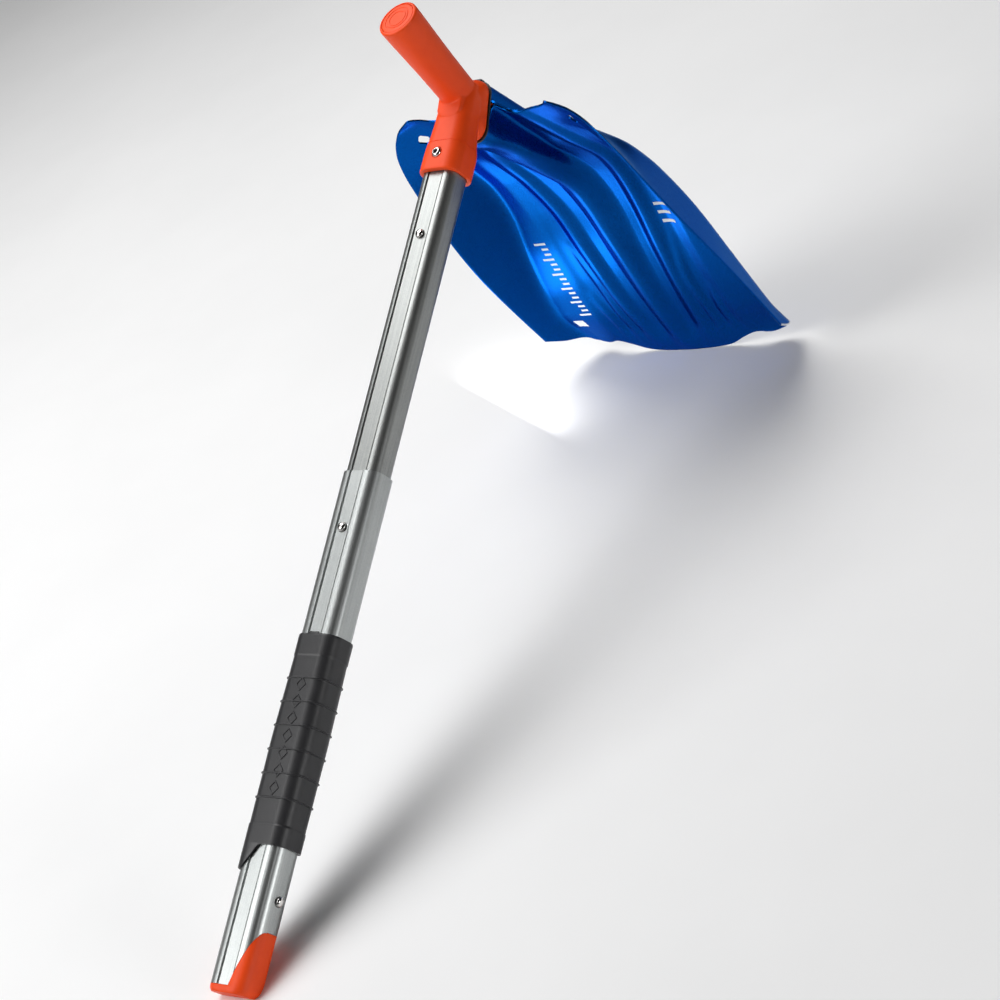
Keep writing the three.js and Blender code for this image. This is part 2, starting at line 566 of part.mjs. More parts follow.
function neckPlate() {
  const offset = SHEET / 2 + PLATE / 2 + RIVET.gap;
  const section = [[0, 1], [4.5, 1], [10.5, 0.9], [13.8, 0.7], [15, 0.45], [15.4, 0.08], [17.6, 0]];
  const hoodZ = (x) => {
    const lift = neckZ(x, HOOD.w) - floorZ(x) - offset;
    return lift * (1 - THREE.MathUtils.smoothstep(x, HOOD.length + 3, HOOD.closed));
  };
  const rows = [];
  const steps = 10;
  for (let i = 0; i <= steps; i++) {
    const s = i / steps;
    const columns = section.map(([y, lift]) => {
      const mouth = NECK.x + 1.2 - (HOOD.w * lift) * Math.tan(NECK.tilt);
      const start = THREE.MathUtils.lerp(mouth, 28.5, THREE.MathUtils.smoothstep(y, 15.2, 17));
      const x = start + (HOOD.closed - start) * s;
      return V(x, y, floorZ(x) + offset + hoodZ(x) * lift);
    });
    for (const y of [23, HOOD.flange]) {
      const x = 29 + (HOOD.closed - 29) * s;
      columns.push(V(x, y, bladeHeight(x, y) + offset));
    }
    rows.push([...columns.slice(1).reverse().map((p) => V(p.x, -p.y, p.z)), ...columns]);
  }
  const plate = toSolid(sheetSolid(rows, PLATE));
  const lockHole = rod(neckPoint(HEAD_LOCK_U, 0, 8), neckPoint(HEAD_LOCK_U, 0, 30), BUTTON_HOLE_R);
  return toGeometry(cut(plate, lockHole, ...rivetSpots.map(rivetHole)));
}

// A black collar between the handle's flange and the mouth of the neck.
function socketCollar() {
  const ring = roundedRect(FLANGE.height + 1.6, FLANGE.width + 1.6, FLANGE.corner + 0.8);
  ring.holes.push(roundedRect(TUBE.width + 2 * FIT, TUBE.depth + 2 * FIT, TUBE.corner + FIT));
  return alongNeck(prism(ring, -0.85, 0.75, 5));
}

// ---- assembly --------------------------------------------------------------

const ORANGE = [0xe9481c, 0.45, 0];
const BLUE = [0x0f52a8, 0.35, 0.85];
const SILVER = [0xb4b9bc, 0.38, 0.9];
const GREY = [0x8c8f8e, 0.38, 0.9];
const BLACK = [0x202022, 0.75, 0];
const STEEL = [0xd0d3d6, 0.15, 1];
const SPRING_STEEL = [0x9da1a6, 0.3, 1];

const assembly = new THREE.Group();

function add(name, geometry, [color, roughness, metalness]) {
  const mesh = new THREE.Mesh(geometry, new THREE.MeshStandardMaterial({ color, roughness, metalness }));
  mesh.name = name;
  assembly.add(mesh);
  return mesh;
}

const bladeMesh = add('blade', blade(), BLUE);
const floorPoint = lowestPoint(bladeMesh.geometry);

// The point of the cutting edge that meets the floor.
function lowestPoint(geometry) {
  const up = V(-Math.cos(FLOOR_TILT), 0, Math.sin(FLOOR_TILT));
  const p = V(0, 0, 0);
  const best = V(0, 0, 0);
  let least = Infinity;
  const { position } = geometry.attributes;
  for (let i = 0; i < position.count; i++) {
    p.fromBufferAttribute(position, i);
    if (p.dot(up) < least) {
      least = p.dot(up);
      best.copy(p);
    }
  }
  return best;
}

add('neck_plate', neckPlate(), BLUE);
rivetSpots.forEach((spot, i) => add(`neck_rivet_${i + 1}`, rivet(spot), STEEL));
add('socket_collar', socketCollar(), BLACK);
add('handle_body', handleBody(), ORANGE);
add('grip_end_cap', gripCap(), ORANGE);
add('handle_screw', handleScrew(), STEEL);
add('handle_barrel_nut', barrelNut(), SPRING_STEEL);
add('inner_tube', innerTube(), GREY);
add('slide_guide', slideGuide(), BLACK);
add('outer_tube', outerTube(), SILVER);
add('grip_sleeve', gripSleeve(), BLACK);
add('end_plug', endPlug(), ORANGE);

const innerWallX = -SLIDER_BORE.depth / 2;
const innerWall = SLIDER.depth / 2 - BAND.depth - SLIDER_BORE.depth / 2;
const outerWallY = -TUBE.width / 2 + TUBE.wall;
const stubWall = TUBE.width / 2 - 3;
const front = V(-1, 0, 0);
const sideways = V(0, -1, 0);

for (const [name, z] of [['extension', LOCK_Z], ['storage', STORE_Z]]) {
  const protrude = name === 'extension' ? innerWall + TUBE.wall + FIT : innerWall;
  add(`${name}_button`, aimed(button(protrude), V(innerWallX, 0, z), front), STEEL);
  add(`${name}_spring`, placedSpring(SLIDER_BORE.depth - SPRING_DROP - FIT, 28, 6,
    V(innerWallX + SPRING_DROP, 0, z), V(0, 0, 1), front), SPRING_STEEL);
}
add('blade_lock_button', aimed(button(TUBE.wall), V(1, outerWallY, BLADE_LOCK_Z), sideways), STEEL);
add('blade_lock_spring', placedSpring(TUBE.width - 2 * TUBE.wall - SPRING_DROP - FIT, 26, 4,
  V(1, outerWallY + SPRING_DROP, BLADE_LOCK_Z), V(0, 0, -1), sideways), SPRING_STEEL);
add('head_button', aimed(button(3 + PLATE + 0.6), neckPoint(HEAD_LOCK_U, 0, stubWall), neckUp), STEEL);
add('head_spring', placedSpring(2 * stubWall - SPRING_DROP - FIT, 22, 5,
  neckPoint(HEAD_LOCK_U, 0, stubWall - SPRING_DROP), neckAlong.clone().negate(), neckUp), SPRING_STEEL);

// Lay the assembly over until the foot's toe and the cutting edge meet the floor.
assembly.rotation.y = Math.PI / 2 - FLOOR_TILT;
const group = new THREE.Group();
group.add(assembly);
group.updateMatrixWorld(true);
const box = new THREE.Box3().setFromObject(group, true);
const centre = box.getCenter(V(0, 0, 0));
assembly.position.set(-centre.x, -centre.y, -box.min.z);

export default group;
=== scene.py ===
"""An avalanche shovel in hoe mode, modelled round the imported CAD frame.

Pieces are drawn in the shaft's own frame in millimetres, as in the CAD: the shaft
runs up +Z from its foot, the blade lies on the +X side and the T-grip on the -X side.
place() then turns each mesh into the row frame, in metres.
"""

import json
import math

import bmesh
import bpy
import numpy as np
from mathutils import Matrix, Vector


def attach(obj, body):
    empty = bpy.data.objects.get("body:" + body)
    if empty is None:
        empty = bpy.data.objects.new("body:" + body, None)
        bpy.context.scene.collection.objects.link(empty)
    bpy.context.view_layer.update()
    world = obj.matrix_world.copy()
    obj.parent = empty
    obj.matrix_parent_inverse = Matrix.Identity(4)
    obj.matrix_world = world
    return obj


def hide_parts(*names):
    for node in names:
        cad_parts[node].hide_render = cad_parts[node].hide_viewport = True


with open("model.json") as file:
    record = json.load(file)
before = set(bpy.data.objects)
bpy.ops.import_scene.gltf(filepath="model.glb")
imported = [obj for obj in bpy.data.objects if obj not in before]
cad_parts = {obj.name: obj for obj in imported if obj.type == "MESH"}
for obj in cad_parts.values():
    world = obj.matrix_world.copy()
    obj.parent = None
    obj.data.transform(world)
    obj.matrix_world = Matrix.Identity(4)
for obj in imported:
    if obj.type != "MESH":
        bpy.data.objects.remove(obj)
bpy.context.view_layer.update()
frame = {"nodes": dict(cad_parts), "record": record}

# ---- dimensions shared with the CAD, in millimetres --------------------------

TUBE = (27.5, 36.5, 10.0)
TUBE_WALL = 1.5
SLIDER = (23.8, 32.8, 8.15)
SLIDER_WALL = 1.4
SLIDER_INSIDE = 19.4
BAND_HALF = 6.8
BAND_DEPTH = 0.8
BAND_SLOT = 0.85
SLIDER_BAND_HALF = 7.75
TUBE_END_Z = -2.5
MOUTH_Z = 385.0
SLIDER_Z = (316.0, 674.0)
LOCK_Z = 339.4
STORE_Z = 582.9
BLADE_LOCK_Z = 61.2
SOCKET_Z = 637.0
SCREW_Z = 651.4
SCREW_HOLE = 2.9
BUTTON_HOLE = 4.1
FOOT_Z = -8.0
NECK = Vector((10.0, 0.0, 706.0))
NECK_TILT = math.radians(7.3)
HEAD_LOCK_U = 36.0
STUB_LENGTH = 60.0
GRIP_ROOT = Vector((-9.0, 0.0, 708.0))
GRIP_END = Vector((-94.8, 0.0, 724.6))
GRIP_RADII = (14.7, 16.9)
NECK_FOOT_DROP = 4.0
NECK_FOOT_SWEEP = 6.0
SHEET = 1.8
PLATE = 1.6
FLOOR_TILT = math.radians(28.25)

TURN = Matrix.Rotation(math.pi / 2 - FLOOR_TILT, 4, "Y")
grip_mount = next(m for m in frame["record"]["mounts"] if m["name"] == "grip_end")
SHIFT = Vector(grip_mount["pos_m"]) - 0.001 * (TURN.to_3x3() @ GRIP_END)
TO_ROW = Matrix.Translation(SHIFT) @ TURN @ Matrix.Scale(0.001, 4)

NECK_ALONG = Vector((math.cos(NECK_TILT), 0, math.sin(NECK_TILT)))
NECK_UP = Vector((-math.sin(NECK_TILT), 0, math.cos(NECK_TILT)))
GRIP_ALONG = (GRIP_END - GRIP_ROOT).normalized()
GRIP_LENGTH = (GRIP_END - GRIP_ROOT).length


# ---- mesh helpers --------------------------------------------------------------

def solid(name, verts, faces):
    mesh = bpy.data.meshes.new(name)
    mesh.from_pydata([tuple(v) for v in verts], [], [tuple(f) for f in faces])
    obj = bpy.data.objects.new(name, mesh)
    bpy.context.scene.collection.objects.link(obj)
    face_out(mesh)
    return obj


def face_out(mesh):
    bm = bmesh.new()
    bm.from_mesh(mesh)
    bmesh.ops.recalc_face_normals(bm, faces=bm.faces)
    bm.to_mesh(mesh)
    bm.free()


def bake(obj):
    """Replaces the mesh by what the object's modifiers make of it."""
    graph = bpy.context.evaluated_depsgraph_get()
    mesh = bpy.data.meshes.new_from_object(obj.evaluated_get(graph))
    obj.modifiers.clear()
    obj.data = mesh
    return obj


def modify(obj, kind, **settings):
    modifier = obj.modifiers.new(kind.lower(), kind)
    for key, value in settings.items():
        setattr(modifier, key, value)
    return bake(obj)


def boolean(obj, *tools, operation="DIFFERENCE"):
    for tool in tools:
        modify(obj, "BOOLEAN", object=tool, operation=operation, solver="EXACT")
        bpy.data.objects.remove(tool)
    return obj


def bevel(obj, width, angle=40, segments=2):
    return modify(obj, "BEVEL", width=width, segments=segments, limit_method="ANGLE",
                  angle_limit=math.radians(angle), harden_normals=False)


def merged(name, *parts):
    """One object from several closed shells."""
    bm = bmesh.new()
    for part in parts:
        bm.from_mesh(part.data)
        bpy.data.objects.remove(part)
    mesh = bpy.data.meshes.new(name)
    bm.to_mesh(mesh)
    bm.free()
    obj = bpy.data.objects.new(name, mesh)
    bpy.context.scene.collection.objects.link(obj)
    return obj


def place(obj, body, slot, replaced=(), sharp=35, *materials):
    """Turns a finished piece into the row frame and ties it to its CAD body."""
    mesh = obj.data
    mesh.transform(TO_ROW)
    mesh.shade_smooth()
    mesh.set_sharp_from_angle(angle=math.radians(sharp))
    for material in materials:
        mesh.materials.append(material)
    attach(obj, body)
    if replaced:
        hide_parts(*replaced)
    return obj


def through(*points):
    """A smooth function through a few (x, value) pairs, for numbers and arrays."""
    px = np.array([p[0] for p in points], float)
    pv = np.array([p[1] for p in points], float)
    count = len(points)
    low = np.maximum(np.arange(count) - 1, 0)
    high = np.minimum(np.arange(count) + 1, count - 1)
    slope = (pv[high] - pv[low]) / (px[high] - px[low])

    def value(x):
        x = np.asarray(x, float)
        i = np.clip(np.searchsorted(px, x, side="right") - 1, 0, count - 2)
        h = px[i + 1] - px[i]
        t = np.clip((x - px[i]) / h, 0, 1)
        u = 1 - t
        inside = (pv[i] * u * u * (1 + 2 * t) + pv[i + 1] * t * t * (3 - 2 * t)
                  + h * t * u * (slope[i] * u - slope[i + 1] * t))
        return np.where(x < px[0], pv[0] + slope[0] * (x - px[0]), inside)
    return value


def smoothstep(x, low, high):
    t = np.clip((np.asarray(x, float) - low) / (high - low), 0, 1)
    return t * t * (3 - 2 * t)


def rounded_rect(depth, width, corner, segments=12):
    x, y = depth / 2 - corner, width / 2 - corner
    points = []
    for quarter, (sx, sy) in enumerate([(1, 1), (-1, 1), (-1, -1), (1, -1)]):
        for k in range(segments + 1):
            a = math.pi / 2 * (quarter + k / segments)
            points.append((sx * x + corner * math.cos(a), sy * y + corner * math.sin(a)))
    return points


def banded_rect(depth, width, corner, half, sink, slot=0.0):
    """A rounded rectangle with a sunken flat band on its -X side.

    With a slot depth, each edge of the band has a narrow slot.
    """
    edge, slot_width = 0.22, 1.2
    points = rounded_rect(depth, width, corner)
    face = -depth / 2
    left = [(face, half + edge), (face + edge, half)]
    if slot:
        bottom = face + sink + slot
        left += [(bottom, half - 0.05), (bottom, half - slot_width), (face + sink, half - slot_width - 0.1)]
    else:
        left.append((face + sink, half - edge))
    middle = len(points) // 2
    return points[:middle] + left + [(x, -y) for x, y in reversed(left)] + points[middle:]


def stacked(name, sections):
    """A solid through rings of equally many points, closed at both ends."""
    count = len(sections[0])
    faces = []
    for k in range(len(sections) - 1):
        low, high = k * count, (k + 1) * count
        for i in range(count):
            j = (i + 1) % count
            faces.append((low + i, low + j, high + j, high + i))
    faces.append(tuple(range(count))[::-1])
    faces.append(tuple(range((len(sections) - 1) * count, len(sections) * count)))
    return solid(name, [point for section in sections for point in section], faces)


def loft(name, outline, stations):
    """Sections of one outline, as (z, scale x, scale y, shift x), closed at both ends."""
    return stacked(name, [[(x * sx + dx, y * sy, z) for x, y in outline] for z, sx, sy, dx in stations])


def prism(name, outline, low, high):
    return loft(name, outline, [(low, 1, 1, 0), (high, 1, 1, 0)])


def smooth_stations(stations, steps):
    z = [s[0] for s in stations]
    columns = [through(*[(s[0], s[k]) for s in stations]) for k in (1, 2, 3)]
    heights = np.linspace(z[0], z[-1], steps + 1)
    return [(float(h), *[float(column(h)) for column in columns]) for h in heights]


def lathe(name, profile, origin, direction, segments=48, hexagon=()):
    """A turned solid: profile is (radius, height), closed by a flat face at each end.

    The profile points numbered in hexagon make a six-sided ring, as in a hexagon socket.
    """
    sections = []
    for k, (radius, height) in enumerate(profile):
        ring = []
        for i in range(segments):
            a = 2 * math.pi * i / segments
            r = radius
            if k in hexagon:
                r = radius / math.cos((a + math.pi / 6) % (math.pi / 3) - math.pi / 6)
            ring.append((r * math.cos(a), r * math.sin(a), height))
        sections.append(ring)
    obj = stacked(name, sections)
    turn = Vector(direction).to_track_quat("Z", "Y").to_matrix().to_4x4()
    obj.data.transform(Matrix.Translation(Vector(origin)) @ turn)
    return obj


def rod(start, end, radius):
    start, end = Vector(start), Vector(end)
    return lathe("rod", [(radius, 0), (radius, (end - start).length)], start, end - start, 32)


def box(low, high):
    spans = list(zip(low, high))
    corners = [(x, y, z) for z in spans[2] for y in spans[1] for x in spans[0]]
    faces = [(0, 2, 3, 1), (4, 5, 7, 6), (0, 1, 5, 4), (2, 6, 7, 3), (0, 4, 6, 2), (1, 3, 7, 5)]
    return solid("box", corners, faces)


def along_neck(obj):
    """Moves a piece drawn with +Z along the neck and +X towards its back."""
    turn = Matrix((NECK_UP, (0, -1, 0), NECK_ALONG)).transposed().to_4x4()
    obj.data.transform(Matrix.Translation(NECK) @ turn)
    return obj


def neck_point(along, side, up):
    return NECK + NECK_ALONG * along + NECK_UP * up + Vector((0, side, 0))


def extruded_x(outline, low, high):
    """An outline of (y, z) points swept along X."""
    count = len(outline)
    verts = [(x, y, z) for x in (low, high) for y, z in outline]
    faces = [(i, (i + 1) % count, count + (i + 1) % count, count + i) for i in range(count)]
    faces += [tuple(range(count))[::-1], tuple(range(count, 2 * count))]
    return solid("swept", verts, faces)


# ---- materials -----------------------------------------------------------------

class Shader:
    """A small node tree round one Principled BSDF, with coordinates in the shaft's frame."""

    def __init__(self, name, **inputs):
        self.material = bpy.data.materials.new(name)
        self.material.use_nodes = True
        self.tree = self.material.node_tree
        self.bsdf = next(n for n in self.tree.nodes if n.type == "BSDF_PRINCIPLED")
        for key, value in inputs.items():
            self.bsdf.inputs[key.replace("_", " ")].default_value = value
        place_node = self.node("ShaderNodeTexCoord")
        turn = self.node("ShaderNodeVectorRotate", rotation_type="Y_AXIS")
        self.link(place_node.outputs["Object"], turn.inputs["Vector"])
        turn.inputs["Angle"].default_value = FLOOR_TILT - math.pi / 2
        self.where = turn.outputs["Vector"]

    def node(self, kind, **settings):
        node = self.tree.nodes.new(kind)
        for key, value in settings.items():
            setattr(node, key, value)
        return node

    def link(self, out, into):
        self.tree.links.new(out, into)

    def noise(self, scale, detail=3.0, stretch=(1, 1, 1)):
        mapping = self.node("ShaderNodeMapping")
        mapping.inputs["Scale"].default_value = stretch
        self.link(self.where, mapping.inputs["Vector"])
        noise = self.node("ShaderNodeTexNoise")
        noise.inputs["Scale"].default_value = scale
        noise.inputs["Detail"].default_value = detail
        noise.inputs["Roughness"].default_value = 0.6
        self.link(mapping.outputs["Vector"], noise.inputs["Vector"])
        return noise.outputs["Fac"]

    def spread(self, value, low, high):
        """Stretches a noise value, which mostly lies between 0.3 and 0.7, over a range."""
        node = self.node("ShaderNodeMapRange")
        node.inputs["From Min"].default_value = 0.3
        node.inputs["From Max"].default_value = 0.7
        node.inputs["To Min"].default_value = low
        node.inputs["To Max"].default_value = high
        self.link(value, node.inputs["Value"])
        return node.outputs["Result"]

    def math(self, operation, a, b):
        node = self.node("ShaderNodeMath", operation=operation)
        for socket, value in zip(node.inputs, (a, b)):
            if isinstance(value, (int, float)):
                socket.default_value = value
            else:
                self.link(value, socket)
        return node.outputs[0]

    def blend(self, factor, a, b):
        node = self.node("ShaderNodeMix", data_type="RGBA")
        self.link(factor, node.inputs["Factor"])
        for socket, colour in ((node.inputs[6], a), (node.inputs[7], b)):
            if isinstance(colour, tuple):
                socket.default_value = (*colour, 1)
            else:
                self.link(colour, socket)
        return node.outputs[2]

    def colour(self, value):
        self.link(value, self.bsdf.inputs["Base Color"])

    def rough(self, value):
        self.link(value, self.bsdf.inputs["Roughness"])

    def bump(self, height, strength, distance):
        node = self.node("ShaderNodeBump")
        node.inputs["Strength"].default_value = strength
        node.inputs["Distance"].default_value = distance
        self.link(height, node.inputs["Height"])
        self.link(node.outputs["Normal"], self.bsdf.inputs["Normal"])


def anodised(name, light, dark, roughness, grain, drawn, metallic=1.0, tint=(1, 1, 1)):
    """Bead-blasted, anodised aluminium: speckled, with faint lines along the shaft."""
    shader = Shader(name, Metallic=metallic, Specular_Tint=(*tint, 1))
    speckle = shader.noise(1500, 4.0)
    lines = shader.noise(900, 2.0, (1, 1, 0.012))
    cloud = shader.noise(22, 2.0)
    grains = shader.spread(speckle, -grain, grain)
    mixed = shader.math("ADD", grains, shader.spread(lines, -drawn, drawn))
    mixed = shader.math("ADD", mixed, shader.spread(cloud, 0.42, 0.58))
    shader.colour(shader.blend(mixed, dark, light))
    shader.rough(shader.spread(speckle, roughness - 0.06, roughness + 0.06))
    height = shader.math("ADD", speckle, shader.math("MULTIPLY", lines, 0.6))
    shader.bump(height, 0.35, 0.00006)
    return shader.material


def plastic(name, light, dark, roughness, grain_scale, depth, **inputs):
    """Moulded plastic or rubber with a fine eroded texture."""
    shader = Shader(name, **inputs)
    cloud = shader.noise(60, 3.0)
    grain = shader.noise(grain_scale, 4.0)
    mixed = shader.math("ADD", shader.spread(cloud, 0.2, 0.6), shader.spread(grain, 0.0, 0.3))
    shader.colour(shader.blend(mixed, dark, light))
    shader.rough(shader.spread(grain, roughness - 0.07, roughness + 0.07))
    shader.bump(grain, 0.5, depth)
    return shader.material


def metal(name, light, dark, roughness, lines=0.0):
    """Plain bright metal with fine turning or polishing marks."""
    shader = Shader(name, Metallic=1.0)
    cloud = shader.noise(300, 3.0)
    marks = shader.noise(2500, 2.0, (1, 1, 0.1))
    shader.colour(shader.blend(shader.spread(cloud, 0, 1), dark, light))
    shader.rough(shader.spread(marks, roughness - 0.04, roughness + 0.06))
    shader.bump(marks, 0.15 + lines, 0.00003)
    return shader.material


BLUE = anodised("blue_anodised", (0.001, 0.098, 0.43), (0.0005, 0.060, 0.29), 0.27, 0.22, 0.04, 0.95,
                (0.25, 0.45, 0.75))
SILVER = anodised("silver_anodised", (0.54, 0.56, 0.55), (0.38, 0.40, 0.40), 0.38, 0.35, 0.22)
GREY = anodised("grey_anodised", (0.40, 0.41, 0.40), (0.26, 0.27, 0.265), 0.38, 0.35, 0.22)
ORANGE = plastic("orange_plastic", (1.0, 0.085, 0.006), (0.88, 0.060, 0.003), 0.50, 1300, 0.00008,
                 Specular_IOR_Level=0.3)
BLACK = plastic("black_plastic", (0.022, 0.022, 0.024), (0.012, 0.012, 0.013), 0.5, 1500, 0.00006)
RUBBER = plastic("black_rubber", (0.028, 0.028, 0.030), (0.016, 0.016, 0.018), 0.42, 900, 0.00010)
CHROME = metal("chrome", (0.80, 0.78, 0.76), (0.62, 0.60, 0.58), 0.12)
STEEL = metal("spring_steel", (0.66, 0.66, 0.67), (0.50, 0.50, 0.51), 0.28)
RIVET = metal("rivet_metal", (0.72, 0.73, 0.74), (0.58, 0.59, 0.60), 0.30)
BARE = metal("bare_cut_edge", (0.80, 0.81, 0.82), (0.62, 0.63, 0.64), 0.34, 0.3)
INK = plastic("white_print", (0.86, 0.88, 0.90), (0.78, 0.80, 0.83), 0.45, 1800, 0.00002)


# ---- the blade -------------------------------------------------------------------

def neck_z(x, up):
    return NECK.z + (x - NECK.x) * math.tan(NECK_TILT) + up / math.cos(NECK_TILT)


# The sheet's outline and heights: rim_half and rim_z follow the side rim, floor_z the flat,
# ridge_z and ridge_half the centre bulge, and rear_x and front_x the two cross edges.
REAR_X, REAR_HALF = 15.8, 75.8
CORNER_X, CORNER_HALF = 309.0, 125.0
BEND = 9.0
CHANNEL_HALF = 19.5

rim_half = through((12, 70), (REAR_X, REAR_HALF), (24, 88), (38, 99), (60, 106.6), (96, 112.4),
                   (150, 119.1), (206, 124.2), (262, 125.4), (CORNER_X, CORNER_HALF))
rim_z = through((12, 703.5), (24, 699.3), (47, 689.6), (96, 677), (150, 666.2), (206, 658),
                (309, 647.5), (361, 643))
floor_z = through((20, 708.5), (50, 711), (80, 714.5), (117, 717), (150, 717), (191, 709),
                  (235, 692), (277, 677), (321, 665), (342, 659.5), (361, 656.8))
ridge_z = through((10, 679), (30, 681.5), (45, 687), (60, 691.5), (75, 694.2), (106, 699.5),
                  (148, 706), (179, 702), (214, 691), (268, 674.5), (305, 664.2),
                  (343, 656.8), (361, 656.8))
ridge_half = through((10, 15), (40, 15), (72, 15), (84, 15.6), (110, 20), (150, 24), (235, 19),
                     (361, 13))
rear_x = through((0, 21.5), (10, 21), (13.5, 17.5), (15.5, 14.2), (17, 13.4), (19.5, 14.2),
                 (21, 18), (23, 23), (28, 27), (35, 28), (45, 26.5), (58, 24), (64.5, 17.9),
                 (69.3, 13), (REAR_HALF, REAR_X))
front_x = through((0, 360.3), (30, 360.3), (45, 358.4), (60, 352), (73.8, 348.6), (86, 353.2),
                  (96, 352.7), (105, 348), (116, 333), (CORNER_HALF, CORNER_X))
panel_slope = through((16, 0.55), (55, 0.62), (80, 1.0), (108, 1.5), (150, 1.65), (361, 1.65))
neck_drop = through((0, 1), (4, 1), (9.5, 0.93), (12.8, 0.79), (14.45, 0.62), (15.1, 0.42),
                    (15.8, 0.2), (17.2, 0.05), (CHANNEL_HALF, 0))

# Ribs on each side of the middle: place across the blade, height and half width.
RIBS = [
    (through((26, 30), (45, 36), (73, 40.8), (117, 49.2), (150, 46.9), (191, 41.9), (235, 38.4),
             (277, 35.5), (321, 31.4), (342, 28.3)),
     through((10, 1.2), (40, 2.2), (80, 3.2), (120, 4.6), (200, 5.6), (320, 4.6), (352, 0)), 12.0),
    (through((234, 51), (257, 48), (273, 46.5), (308, 45.7), (340, 43.8)),
     through((222, 0), (262, 3.0), (320, 2.8), (350, 0)), 6.5),
    (through((288, 62), (313, 59), (337, 58.8)),
     through((276, 0), (304, 2.4), (325, 2.2), (346, 0)), 6.0),
]


def blade_height(x, y):
    """Height of the sheet's middle surface, with its centre bulge, ribs and side panels."""
    half = np.abs(y)
    valley = 3.4 * smoothstep(x, 84, 126) * (1 - smoothstep(x, 325, 352))
    floor = floor_z(x) + valley * (1 - smoothstep(half, 58, 74))
    floor = floor + 6.0 * smoothstep(x, 300, 350) * np.minimum(half / 75, 1.3) ** 2
    share = half / ridge_half(x)
    wave = np.where(share < 1.0, 0.5 + 0.5 * np.cos(np.pi * np.minimum(share, 1.0)), 0)
    channel = np.where(half < CHANNEL_HALF, neck_drop(np.minimum(half, CHANNEL_HALF)), 0)
    blend = smoothstep(x, 66, 150)
    drop = channel * (1 - blend) + wave * blend
    floor = floor + (ridge_z(x) - floor) * drop
    for across, height, width in RIBS:
        d = np.minimum(np.abs(half - across(x)) / width, 1)
        tall = np.maximum(height(x), 0) * (x < 352)
        floor = floor - tall * (0.5 + 0.5 * np.cos(np.pi * d))
    panel = rim_z(x) + panel_slope(x) * (rim_half(np.minimum(x, CORNER_X)) - half)
    h = np.maximum(BEND - np.abs(floor - panel), 0) / BEND
    return np.minimum(floor, panel) - h * h * BEND / 4


def blade_grid():
    """Middle-surface points and how much of the full thickness the sheet has there."""
    edge = [0.0, 0.0008, 0.0024]
    rows = np.array(edge + list(np.linspace(0.006, 0.994, 150)) + [1 - e for e in reversed(edge)])
    inner = np.array([0, 0.15, 0.3, 0.45, 0.6, 0.7, 0.78, 0.85, 0.9, 0.94, 0.97, 1.0, 1.03, 1.07,
                      1.13, 1.2, 1.3])
    outer = np.array(list(np.linspace(0, 0.985, 58)[1:]) + [0.993, 0.9975, 1.0])
    points = []
    for s in rows:
        rim_x = REAR_X + (CORNER_X - REAR_X) * s
        reach = float(rim_half(rim_x))
        middle = inner * float(ridge_half(10 + 350 * s))
        y = np.concatenate([middle, middle[-1] + (reach - middle[-1]) * outer])
        share = y / reach
        rear_far = rear_x(share * REAR_HALF)
        rear = rear_x(np.minimum(y, REAR_HALF))
        rear = rear + (rear_far - rear) * smoothstep(s, 0, 0.3)
        x = rear + (front_x(share * CORNER_HALF) - rear) * s
        points.append(np.stack([x, y, blade_height(x, y)], axis=1))
    half = np.array(points)
    other = half[:, :0:-1] * np.array([1, -1, 1])
    grid = np.concatenate([other, half], axis=1)
    full = np.ones(grid.shape[:2])
    for k, thin in enumerate((0.42, 0.8)):
        for line in (full[k, :], full[-1 - k, :], full[:, k], full[:, -1 - k]):
            np.minimum(line, thin, out=line)
    return grid, full


def sheet_solid(name, grid, thickness):
    """A closed sheet about a grid of middle-surface points."""
    rows, columns = grid.shape[:2]
    along = np.gradient(grid, axis=0)
    across = np.gradient(grid, axis=1)
    normal = np.cross(along, across)
    normal /= np.linalg.norm(normal, axis=2, keepdims=True)
    offset = normal * (thickness / 2)[..., None]
    verts = np.concatenate([(grid + offset).reshape(-1, 3), (grid - offset).reshape(-1, 3)])
    ids = np.arange(rows * columns).reshape(rows, columns)
    low = ids + rows * columns
    faces = []
    for i in range(rows - 1):
        for j in range(columns - 1):
            faces.append((ids[i, j], ids[i + 1, j], ids[i + 1, j + 1], ids[i, j + 1]))
            faces.append((low[i, j], low[i, j + 1], low[i + 1, j + 1], low[i + 1, j]))
    for i in range(rows - 1):
        faces.append((ids[i, 0], low[i, 0], low[i + 1, 0], ids[i + 1, 0]))
        faces.append((ids[i + 1, -1], low[i + 1, -1], low[i, -1], ids[i, -1]))
    for j in range(columns - 1):
        faces.append((ids[0, j + 1], low[0, j + 1], low[0, j], ids[0, j]))
        faces.append((ids[-1, j], low[-1, j], low[-1, j + 1], ids[-1, j + 1]))
    return solid(name, verts.tolist(), [tuple(int(v) for v in f) for f in faces])


def surface_frame(x, y):
    """A point on the blade's middle surface and its normal, towards the back."""
    z = float(blade_height(x, y))
    slope_x = float(blade_height(x + 0.5, y) - blade_height(x - 0.5, y))
    slope_y = float(blade_height(x, y + 0.5) - blade_height(x, y - 0.5))
    return Vector((x, y, z)), Vector((-slope_x, -slope_y, 1)).normalized()


def lash_cutter(side):
    origin, normal = surface_frame(43.4, side * 76.5)
    corners = [Vector((-7.0, 0)), Vector((0, -6.0)), Vector((7.0, 0)), Vector((0, 6.0))]
    outline = []
    for k, corner in enumerate(corners):
        for near in (corners[k - 1], corners[(k + 1) % 4]):
            outline.append(tuple(corner.lerp(near, 0.16)))
    cutter = prism("lash", outline, -8, 8)
    right = Vector((1, 0, 0)) - normal * normal.x
    right.normalize()
    turn = Matrix((right, normal.cross(right), normal)).transposed().to_4x4()
    cutter.data.transform(Matrix.Translation(origin) @ turn)
    return cutter


